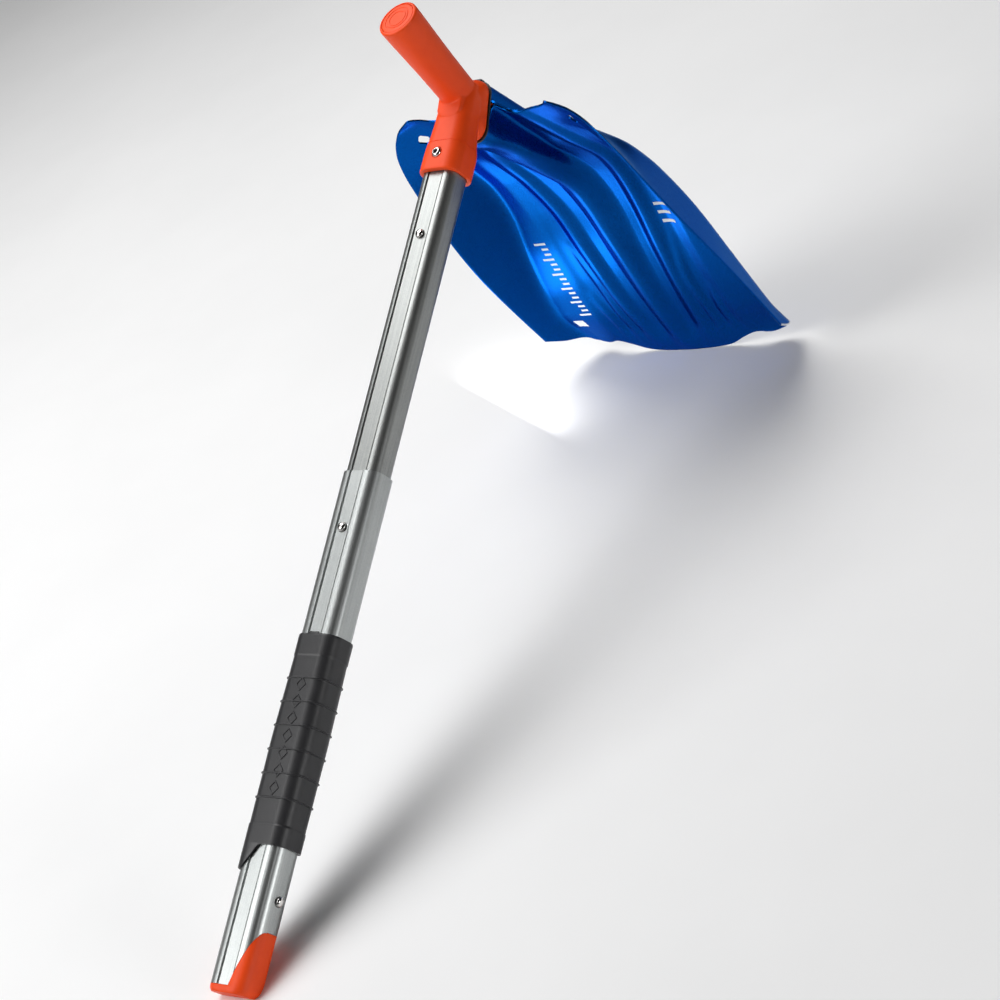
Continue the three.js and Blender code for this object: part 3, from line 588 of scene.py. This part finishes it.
def build_blade():
    """The sheet, with bare metal where its front edge is cut."""
    cut_depth, corner_region = 0.35, 300
    grid, full = blade_grid()
    blade = sheet_solid("blade_sheet", grid, full * SHEET)
    boolean(blade, lash_cutter(1), lash_cutter(-1))
    mesh = blade.data
    place(blade, "blade_unit", "blue_anodised", ("blade",), 50, BLUE, BARE)
    scale = 1000 * TURN.to_3x3().transposed()
    for polygon in mesh.polygons:
        centre = scale @ (Vector(polygon.center) - SHIFT)
        edge_x = float(front_x(min(abs(centre.y), CORNER_HALF)))
        if centre.x > max(corner_region, edge_x - cut_depth):
            polygon.material_index = 1


build_blade()


# ---- the neck plate, its rivets and the collar --------------------------------------

def rounded_line(points):
    """Cuts the corners of an open line of points twice, keeping its ends."""
    line = [np.array(p, float) for p in points]
    for _ in range(2):
        fresh = [line[0]]
        for a, b in zip(line[:-1], line[1:]):
            fresh += [a * 0.75 + b * 0.25, a * 0.25 + b * 0.75]
        line = [*fresh, line[-1]]
    return line


def build_neck_plate():
    offset = SHEET / 2 + PLATE / 2 + 0.35
    hood_up, hood_end, flange = 19.4, 84.0, 30.0
    section = [(0, 1), (4.5, 1), (10.5, 0.9), (13.8, 0.7), (15, 0.45), (15.4, 0.08), (17.6, 0)]
    rows = []
    for s in np.linspace(0, 1, 60):
        points = []
        for y, lift in section:
            mouth = NECK.x + 1.2 - hood_up * lift * math.tan(NECK_TILT)
            start = mouth + (28.5 - mouth) * float(smoothstep(y, 19.8, 24))
            x = start + (hood_end - start) * s
            rise = neck_z(x, hood_up) - float(floor_z(x)) - offset
            rise *= 1 - float(smoothstep(x, 71, hood_end))
            points.append((x, y, float(floor_z(x)) + offset + rise * lift))
        for y in (23, 26.5, flange):
            x = 29 + (hood_end - 29) * s
            points.append((x, y, float(blade_height(x, y)) + offset))
        half = np.array(rounded_line(points))
        rows.append(np.concatenate([half[:0:-1] * np.array([1, -1, 1]), half]))
    grid = np.array(rows)
    plate = sheet_solid("neck_plate_sheet", grid, np.full(grid.shape[:2], PLATE))
    hole = rod(neck_point(HEAD_LOCK_U, 0, 8), neck_point(HEAD_LOCK_U, 0, 30), BUTTON_HOLE)
    boolean(plate, hole)
    bevel(plate, 0.3, 60)
    place(plate, "blade_unit", "blue_anodised", ("neck_plate",), 45, BLUE)


def build_rivet(number, x, y):
    origin, normal = surface_frame(x, y)
    low, high = -SHEET / 2 + 0.1, SHEET / 2 + PLATE + 0.45
    dome = [(4.0 * math.cos(a), 1.3 * math.sin(a)) for a in np.radians(np.linspace(8, 88, 9))]
    profile = [(0.05, low), (2.0, low), (2.0, high), (4.0, high)] + [(r, high + h) for r, h in dome]
    profile[-1] = (1.1, high + 1.25)
    profile += [(1.0, high + 0.7), (0.05, high + 0.7)]
    rivet = lathe(f"rivet_{number}", profile, origin, normal, 32)
    place(rivet, "blade_unit", "rivet", (f"neck_rivet_{number}",), 50, RIVET)


def neck_foot(x):
    """How far the low end of the neck's mouth leads its upper end."""
    return NECK_FOOT_SWEEP * min(max((-x - 8) / 20, 0), 1)


def lowered(outline):
    return [(x - NECK_FOOT_DROP, y) for x, y in outline]


def build_collar():
    ring = prism("collar_ring", lowered(rounded_rect(50.1, 34.6, 13.3)), -0.85, 0.75)
    boolean(ring, prism("hole", lowered(rounded_rect(45.2, 28.2, 10.35)), -3, 3))
    bevel(ring, 0.3, 50)
    for vertex in ring.data.vertices:
        vertex.co.z += neck_foot(vertex.co.x)
    nub_x = 21.3
    nub = loft("nub", rounded_rect(2.4, 13, 1.1, 6), [
        (-2.2, 0.8, 0.9, nub_x), (-1.6, 1, 1, nub_x), (2.2, 1, 1, nub_x), (5.4, 0.6, 0.8, nub_x - 0.3)])
    ring = merged("neck_collar", ring, nub)
    along_neck(ring)
    place(ring, "blade_unit", "black_plastic", ("socket_collar",), 40, BLACK)


build_neck_plate()
RIVET_PLACES = [(x, y) for y in (23.5, -23.5) for x in (40, 72)]
for rivet_number, (rivet_x, rivet_y) in enumerate(RIVET_PLACES, 1):
    build_rivet(rivet_number, rivet_x, rivet_y)
build_collar()


# ---- the handle ----------------------------------------------------------------------

def grip_profile():
    root, end_round = -10.0, 1.5
    radius = through((root, 9.7), (-3, 14.2), (4, GRIP_RADII[0]), (30, 15.1), (0.6 * GRIP_LENGTH, 15.8),
                     (GRIP_LENGTH - 8, 16.8), (GRIP_LENGTH, GRIP_RADII[1]))
    profile = [(0.05, root)]
    profile += [(float(radius(u)), float(u)) for u in np.linspace(root, GRIP_LENGTH - 1.6, 40)]
    for a in np.radians(np.linspace(10, 90, 6)):
        profile.append((GRIP_RADII[1] - end_round + end_round * math.cos(a),
                        GRIP_LENGTH - end_round + end_round * math.sin(a)))
    return profile + [(0.05, GRIP_LENGTH)]


def swept_foot(obj):
    """Carries the low end of the flange forward along the neck, to meet the collar."""
    for vertex in obj.data.vertices:
        vertex.co.z += neck_foot(vertex.co.x) * float(smoothstep(vertex.co.z, -12, -1))
    return obj


def build_handle():
    socket = loft("socket", rounded_rect(33.2, 38.8, 12), smooth_stations(
        [(SOCKET_Z, 1.0, 1.0, 0), (648, 1.0, 1.0, 0), (659, 0.985, 0.985, 0), (667, 0.89, 0.935, -0.7),
         (682, 0.76, 0.88, -2.2), (704, 0.66, 0.84, -3.5), (716, 0.5, 0.7, -4)], 40))
    flange = along_neck(swept_foot(loft("flange", rounded_rect(48.5, 33, 12.5), smooth_stations(
        [(-28, 0.5, 0.7, -6), (-14, 0.80, 0.9, -5), (-9, 0.94, 0.975, -4.2),
         (-3, 1, 1, -NECK_FOOT_DROP), (-1.2, 0.985, 0.98, -NECK_FOOT_DROP)], 24))))
    grip = lathe("grip", grip_profile(), GRIP_ROOT, GRIP_ALONG, 72)
    body = merged("handle_shell", socket, flange, grip)
    modify(body, "REMESH", mode="VOXEL", voxel_size=0.62)
    modify(body, "SMOOTH", factor=0.5, iterations=9)
    stub = along_neck(prism("stub", rounded_rect(36.5, 27.5, 10), -5, STUB_LENGTH))
    bevel(stub, 0.8, 50)
    boolean(body, stub, operation="UNION")
    gap = 0.35
    socket_bore = rounded_rect(SLIDER[0] + 2 * gap, SLIDER[1] + 2 * gap, SLIDER[2] + gap)
    bore = prism("bore", socket_bore, SOCKET_Z - 10, SLIDER_Z[1] + gap)
    stub_bore = along_neck(prism("stub_bore", rounded_rect(30.5, 21.5, 7), 8, STUB_LENGTH + 5))
    seat_wall = [(14.7, GRIP_LENGTH - 2.4), (14.7, GRIP_LENGTH + 6)]
    seat = lathe("seat", seat_wall, GRIP_ROOT, GRIP_ALONG, 72)
    screw_hole = rod((-30, 0, SCREW_Z), (0, 0, SCREW_Z), SCREW_HOLE)
    screw_seat = rod((-30, 0, SCREW_Z), (-15.3, 0, SCREW_Z), 4.9)
    lock_hole = rod(neck_point(HEAD_LOCK_U, 0, 8), neck_point(HEAD_LOCK_U, 0, 30), BUTTON_HOLE)
    boolean(body, bore, stub_bore, seat, screw_hole, screw_seat, lock_hole, *seam_cutters())
    place(body, "upper_shaft", "orange_plastic", ("handle_body",), 38, ORANGE)


def seam_cutters():
    """A fine parting line round the shoulder, between the socket and the hub."""
    ring = prism("seam", rounded_rect(46, 52, 14), 662.0, 662.5)
    core = prism("core", rounded_rect(31.0, 36.9, 11.2), 661, 663.5)
    return [boolean(ring, core)]


def build_cap():
    top = GRIP_LENGTH
    body = [(0.05, -9), (12.5, -9), (12.5, -2.05), (14.35, -2.05), (14.35, -0.5), (14.0, -0.12), (13.6, 0)]
    groove = [(10.9, 0), (10.7, -0.35), (9.7, -0.35), (9.5, 0)]
    raised_ring = [(7.9, 0), (7.7, 0.35), (6.9, 0.35), (6.7, 0), (0.05, 0)]
    profile = [(radius, top + height) for radius, height in body + groove + raised_ring]
    cap = lathe("grip_cap", profile, GRIP_ROOT, GRIP_ALONG, 96)
    place(cap, "upper_shaft", "orange_plastic", ("grip_end_cap",), 40, ORANGE)


def build_screw():
    seat = 15.75
    profile = [(0.05, 4.5), (2.5, 4.5), (2.5, seat), (4.3, seat), (4.4, seat + 0.3), (4.35, seat + 1.0),
               (4.0, seat + 1.8), (3.3, seat + 2.5), (2.7, seat + 2.75), (2.35, seat + 2.75),
               (2.2, seat + 2.6), (2.05, seat + 0.9), (0.05, seat + 0.7)]
    last = len(profile)
    screw = lathe("socket_screw", profile, (0, 0, SCREW_Z), (-1, 0, 0), 48, (last - 3, last - 2))
    place(screw, "upper_shaft", "chrome", ("handle_screw",), 40, CHROME, BLACK)
    # The faces round the middle of the hex socket take the black plastic instead of chrome: painted shade
    # in the recess.
    painted_shade_centre = TO_ROW @ Vector((-seat - 1.5, 0, SCREW_Z))
    painted_shade_reach = 0.002
    for polygon in screw.data.polygons:
        if (Vector(polygon.center) - painted_shade_centre).length < painted_shade_reach:
            polygon.material_index = 1


build_handle()
build_cap()
build_screw()


# ---- the tubes, the sleeve and the foot ------------------------------------------------

def scarf(gap):
    """What the foot takes from the lower tube: the back, and one side below a rising line."""
    top = 38.5 + gap
    edge = through((TUBE_END_Z, 4), (6, 6.2), (15.5, 9.5), (27, 13.6), (34, 16.6))
    line = [(float(edge(z)) - gap, z) for z in np.linspace(TUBE_END_Z, 34, 16)]
    line += [(17.4 - gap, 36.2), (18.2, 37.9 + gap), (19.4, top)]
    outline = [(4 - gap, -20), *line, (36, top), (36, -20)]
    wedge = extruded_x([(-y, z) for y, z in outline], -36, 0.5)
    boolean(wedge, box((-3 - gap, -30, -20), (36, 30, top)), operation="UNION")
    return wedge


def build_outer_tube():
    outline = banded_rect(*TUBE, BAND_HALF, BAND_DEPTH, BAND_SLOT)
    tube = prism("lower_tube", outline, TUBE_END_Z, MOUTH_Z)
    inner = (TUBE[0] - 2 * TUBE_WALL, TUBE[1] - 2 * TUBE_WALL, TUBE[2] - TUBE_WALL)
    inside = banded_rect(*inner, BAND_HALF + 0.6, BAND_DEPTH)
    hollow = prism("hollow", inside, TUBE_END_Z - 5, MOUTH_Z + 5)
    lock = rod((-30, 0, LOCK_Z), (0, 0, LOCK_Z), BUTTON_HOLE)
    side = rod((1, -40, BLADE_LOCK_Z), (1, 0, BLADE_LOCK_Z), BUTTON_HOLE)
    boolean(tube, hollow, lock, side, scarf(0))
    bevel(tube, 0.12, 50, 1)
    place(tube, "lower_shaft", "silver_anodised", ("outer_tube",), 22, SILVER)


def build_inner_tube():
    tube = prism("upper_tube", banded_rect(*SLIDER, SLIDER_BAND_HALF, BAND_DEPTH, BAND_SLOT), *SLIDER_Z)
    inner = (SLIDER_INSIDE, SLIDER[1] - 2 * SLIDER_WALL, SLIDER[2] - SLIDER_WALL - BAND_DEPTH)
    hollow = prism("hollow", rounded_rect(*inner), SLIDER_Z[0] - 5, SLIDER_Z[1] + 5)
    holes = [rod((-30, 0, z), (0, 0, z), BUTTON_HOLE) for z in (LOCK_Z, STORE_Z)]
    boolean(tube, hollow, *holes, rod((-30, 0, SCREW_Z), (0, 0, SCREW_Z), SCREW_HOLE))
    bevel(tube, 0.12, 50, 1)
    place(tube, "upper_shaft", "grey_anodised", ("inner_tube",), 22, GREY)


SLEEVE_LOW, SLEEVE_HIGH, SLEEVE_STEP = 79.5, 256.0, 98.0
SLEEVE_RINGS = [132, 150, 168, 186, 204, 222]
RING_HALF, RING_TALL, RING_GAP = 0.75, 0.85, 6.2
MARK_Y = -1.0
sleeve_wall = through((SLEEVE_LOW, 1.35), (100, 1.45), (112, 1.5), (150, 1.7), (175, 1.85), (205, 1.5),
                      (238, 1.05), (256, 1.05))


def sleeve_heights():
    """Heights of the sleeve's sections, closer together at the collars and the rings."""
    heights = {SLEEVE_LOW, SLEEVE_LOW + 0.5, 111.6, 112.2, 112.9, 113.6, 238.4, 239.2, 239.9, 240.6,
               255.4, SLEEVE_HIGH}
    heights |= {float(z) for z in np.linspace(81, 254.8, 120)}
    for ring in SLEEVE_RINGS:
        heights = {z for z in heights if abs(z - ring) > 1.3}
        heights |= {ring + d for d in (-1.25, -0.8, -0.55, -0.25, 0.0, 0.25, 0.55, 0.8, 1.25)}
    return sorted(heights)


def sleeve_section(z):
    """The sleeve's outline at one height: wall, end collars, and rings that stop at the front."""
    base = float(sleeve_wall(z))
    base += 0.42 * (1 - float(smoothstep(z, 111.8, 113.4))) + 0.36 * float(smoothstep(z, 238.6, 240.2))
    base -= 0.35 * float(smoothstep(z, 255.0, 256.0)) + 0.3 * (1 - float(smoothstep(z, 79.5, 80.2)))
    near = min(SLEEVE_RINGS, key=lambda ring: abs(ring - z))
    fin = RING_TALL * (1 - float(smoothstep(abs(z - near), 0.25, RING_HALF + 0.05)))
    section = []
    for x, y in rounded_rect(*TUBE, 16):
        open_front = float(smoothstep(abs(y - MARK_Y), RING_GAP, RING_GAP + 1.2)) if x < 0 else 1.0
        grow = base + fin * open_front
        section.append((x * (1 + 2 * grow / TUBE[0]), y * (1 + 2 * grow / TUBE[1]), z))
    return section


def build_sleeve():
    sleeve = stacked("rubber_sleeve", [sleeve_section(z) for z in sleeve_heights()])
    bore = prism("bore", rounded_rect(TUBE[0] + 0.3, TUBE[1] + 0.3, TUBE[2] + 0.15, 16), 70, 270)
    edge = through((-30, SLEEVE_STEP), (-6, SLEEVE_STEP), (-1, 97.6), (1.5, 95.6), (5, 90), (9, 84.2),
                   (12, 80.6), (16, SLEEVE_LOW - 0.4))
    line = [(float(y), float(edge(y))) for y in np.linspace(-8, 16, 40)]
    step = extruded_x([(-30, SLEEVE_STEP), *line, (16, 70), (-30, 70)], -30, 30)
    boolean(sleeve, bore, step)
    bevel(sleeve, 0.35, 55)
    sleeve = merged("rubber_sleeve", sleeve, *sleeve_marks(), sleeve_tongue())
    place(sleeve, "lower_shaft", "black_rubber", ("grip_sleeve",), 35, RUBBER)


def sleeve_tongue():
    """A small raised lip at the front of the sleeve's upper edge."""
    outline = [(-5.4, 254), (5.4, 254), (4.6, 257.4), (-4.6, 257.4)]
    tongue = extruded_x(outline, -15.1, -14.05)
    return bevel(tongue, 0.3, 50)


def lozenge(z, across, tall):
    return [(MARK_Y - across, z), (MARK_Y, z - tall), (MARK_Y + across, z), (MARK_Y, z + tall)]


def sleeve_marks():
    """Plain raised lozenge frames down the front, between the rings' ends."""
    marks = []
    for z in np.linspace(139, 217, 7):
        face = -TUBE[0] / 2 - float(sleeve_wall(z))
        frame_piece = extruded_x(lozenge(float(z), 5.0, 5.6), face - 0.55, face + 0.9)
        boolean(frame_piece, extruded_x(lozenge(float(z), 3.7, 4.2), face - 2, face + 2))
        marks.append(bevel(frame_piece, 0.15, 50, 1))
    return marks


def build_foot():
    filler = prism("foot_plug", rounded_rect(*TUBE, 16), TUBE_END_Z - 1, 45)
    boolean(filler, scarf(-0.25), operation="INTERSECT")
    end = loft("end", rounded_rect(*TUBE, 16), smooth_stations(
        [(FOOT_Z, 0.90, 0.87, -0.6), (FOOT_Z + 1.4, 0.955, 0.935, -0.4),
         (FOOT_Z + 3.2, 0.99, 0.985, -0.1), (TUBE_END_Z - 0.25, 1, 1, 0)], 16))
    inner = (TUBE[0] - 3.7, TUBE[1] - 3.7, TUBE[2] - 1.85)
    core = prism("core", banded_rect(*inner, SLIDER_BAND_HALF, BAND_DEPTH), FOOT_Z + 4, 30)
    boolean(filler, end, core, operation="UNION")
    hollow = prism("hollow", rounded_rect(TUBE[0] - 3, TUBE[1] - 3, TUBE[2] - 1.5), 30, 80)
    boolean(filler, hollow, floor_cutter())
    bevel(filler, 0.45, 42, 3)
    place(filler, "lower_shaft", "orange_plastic", ("end_plug",), 38, ORANGE)


def floor_cutter():
    """Everything below the floor that the foot's toe stands on."""
    below = box((-400, -60, -60), (0, 60, 0))
    below.data.transform(TO_ROW.inverted() @ Matrix.Scale(0.001, 4))
    return below


build_outer_tube()
build_inner_tube()
build_sleeve()
build_foot()


# ---- snap buttons and the pieces inside -------------------------------------------------

def build_button(name, body, wall, origin, direction):
    """A flanged dome that stands out through a wall of the given thickness."""
    top, radius, dome = wall + 3.4, 3.6, 2.0
    profile = [(0.05, -1.4), (4.9, -1.4), (4.9, -0.35), (radius, -0.35), (radius, top - dome)]
    for a in np.radians(np.linspace(12, 84, 8)):
        profile.append((radius * math.cos(a), top - dome + dome * math.sin(a)))
    profile[-1] = (0.05, top)
    button = lathe(name, profile, origin, direction, 40)
    place(button, body, "steel", (name.replace("_dome", "_button"),), 45, CHROME)


def build_buttons():
    inner_x = -SLIDER_INSIDE / 2
    inner_wall = SLIDER[0] / 2 - BAND_DEPTH + inner_x
    both_walls = inner_wall + TUBE_WALL + 0.35
    stub_wall = 3
    foot_place = (1, -TUBE[1] / 2 + TUBE_WALL, BLADE_LOCK_Z)
    head_place = neck_point(HEAD_LOCK_U, 0, TUBE[1] / 2 - stub_wall)
    build_button("extension_dome", "extension_snap", both_walls, (inner_x, 0, LOCK_Z), (-1, 0, 0))
    build_button("storage_dome", "storage_snap", inner_wall, (inner_x, 0, STORE_Z), (-1, 0, 0))
    build_button("blade_lock_dome", "blade_lock_snap", TUBE_WALL, foot_place, (0, -1, 0))
    build_button("head_dome", "head_snap", stub_wall + PLATE + 0.6, head_place, NECK_UP)


build_buttons()

INNER_FINISH = {"handle_barrel_nut": STEEL, "slide_guide": BLACK, "extension_spring": STEEL,
                "storage_spring": STEEL, "blade_lock_spring": STEEL, "head_spring": STEEL}
for node_name, finish in INNER_FINISH.items():
    node_object = frame["nodes"][node_name]
    if not node_object.material_slots:
        node_object.data.materials.append(None)
    for material_slot in node_object.material_slots:
        material_slot.material = finish


# ---- plain printed marks on the blade ------------------------------------------------------

def printed_patch(corner, length, width, rows, columns):
    """A thin flat mark that follows the blade's hollow side."""
    points = []
    for side in (0.93, 0.99):
        for i in range(rows + 1):
            for j in range(columns + 1):
                x = corner[0] + length * i / rows
                y = corner[1] + width * j / columns
                middle, normal = surface_frame(x, y)
                points.append(middle - normal * side)
    wide = columns + 1
    layer = (rows + 1) * wide
    faces = []
    for i in range(rows):
        for j in range(columns):
            a = i * wide + j
            faces.append((a, a + 1, a + wide + 1, a + wide))
            faces.append((layer + a, layer + a + wide, layer + a + wide + 1, layer + a + 1))
    rim = list(range(wide)) + [i * wide + columns for i in range(1, rows + 1)]
    rim += [rows * wide + j for j in range(columns - 1, -1, -1)]
    rim += [i * wide for i in range(rows - 1, 0, -1)]
    faces += [(a, b, b + layer, a + layer) for a, b in zip(rim, rim[1:] + rim[:1])]
    return solid("patch", points, faces)


def build_marks():
    """A plain ruler and a square on the +Y side of the blade, and three bars on the -Y side."""
    patches = []
    for k, x in enumerate(np.linspace(219, 302, 16)):
        wide = 12.0 if k % 3 == 0 else 7.0
        patches.append(printed_patch((float(x), 75), 2.2, wide, 1, 4))
    patches.append(printed_patch((312, 90), 11, 11, 3, 3))
    for x in (193, 202, 211):
        patches.append(printed_patch((x, -66), 3, 13, 1, 4))
    marks = merged("blade_scale_marks", *patches)
    place(marks, "blade_unit", "blue_anodised", (), 35, INK)


build_marks()


# ---- floor, light and camera ------------------------------------------------------------------

def build_floor():
    shader = Shader("pale_floor", Roughness=0.75)
    cloud = shader.spread(shader.noise(4), 0, 1)
    shader.colour(shader.blend(cloud, (0.90, 0.90, 0.90), (0.93, 0.93, 0.93)))
    mesh = bpy.data.meshes.new("floor")
    mesh.from_pydata([(-9, -9, 0), (9, -9, 0), (9, 9, 0), (-9, 9, 0)], [], [(0, 1, 2, 3)])
    mesh.materials.append(shader.material)
    floor = bpy.data.objects.new("floor", mesh)
    bpy.context.scene.collection.objects.link(floor)


def area_light(name, spot, target, width, height, power):
    data = bpy.data.lights.new(name, "AREA")
    data.shape = "RECTANGLE"
    data.size, data.size_y = width, height
    data.energy = power
    light = bpy.data.objects.new(name, data)
    light.location = spot
    light.rotation_euler = (Vector(target) - Vector(spot)).to_track_quat("-Z", "Y").to_euler()
    bpy.context.scene.collection.objects.link(light)


def build_world():
    """A studio that is bright towards +Y and dimmer towards -Y."""
    world = bpy.data.worlds.new("studio")
    bpy.context.scene.world = world
    world.use_nodes = True
    tree = world.node_tree
    background = tree.nodes["Background"]
    direction = tree.nodes.new("ShaderNodeTexCoord")
    split = tree.nodes.new("ShaderNodeSeparateXYZ")
    ramp = tree.nodes.new("ShaderNodeMapRange")
    ramp.interpolation_type = "SMOOTHSTEP"
    for socket, value in (("From Min", -0.45), ("From Max", 0.35), ("To Min", 0.38), ("To Max", 1.1)):
        ramp.inputs[socket].default_value = value
    tree.links.new(direction.outputs["Generated"], split.inputs["Vector"])
    tree.links.new(split.outputs["Y"], ramp.inputs["Value"])
    tree.links.new(ramp.outputs["Result"], background.inputs["Strength"])


def build_light():
    build_world()
    middle = (0.0, 0.0, 0.2)
    area_light("key", (-1.6, 1.3, 1.9), middle, 1.4, 1.6, 40)
    area_light("side", (-0.4, -2.4, 0.5), middle, 0.9, 0.5, 13)
    area_light("top", (0.6, 0.9, 2.4), middle, 1.8, 1.8, 50)
    low = Vector((0.29, 0.17, 0.036))
    area_light("low_panel", low, low + Vector((0.85, -0.45, 0.28)), 0.18, 0.055, 0.12)


def build_camera():
    data = bpy.data.cameras.new("camera")
    data.lens, data.sensor_width = 86.4, 36
    data.clip_end = 30
    camera = bpy.data.objects.new("camera", data)
    right = Vector((0.5809, -0.7832, 0.2217)).normalized()
    back = Vector((-0.7232, -0.6216, -0.3008))
    back = (back - right * back.dot(right)).normalized()
    basis = Matrix((right, back.cross(right), back)).transposed()
    spot = TO_ROW @ Vector((-1236.3, -1194.4, -149.9))
    camera.matrix_world = Matrix.Translation(spot) @ (TURN.to_3x3() @ basis).to_4x4()
    bpy.context.scene.collection.objects.link(camera)
    bpy.context.scene.camera = camera


bpy.context.scene.view_settings.view_transform = "Standard"
build_floor()
build_light()
build_camera()
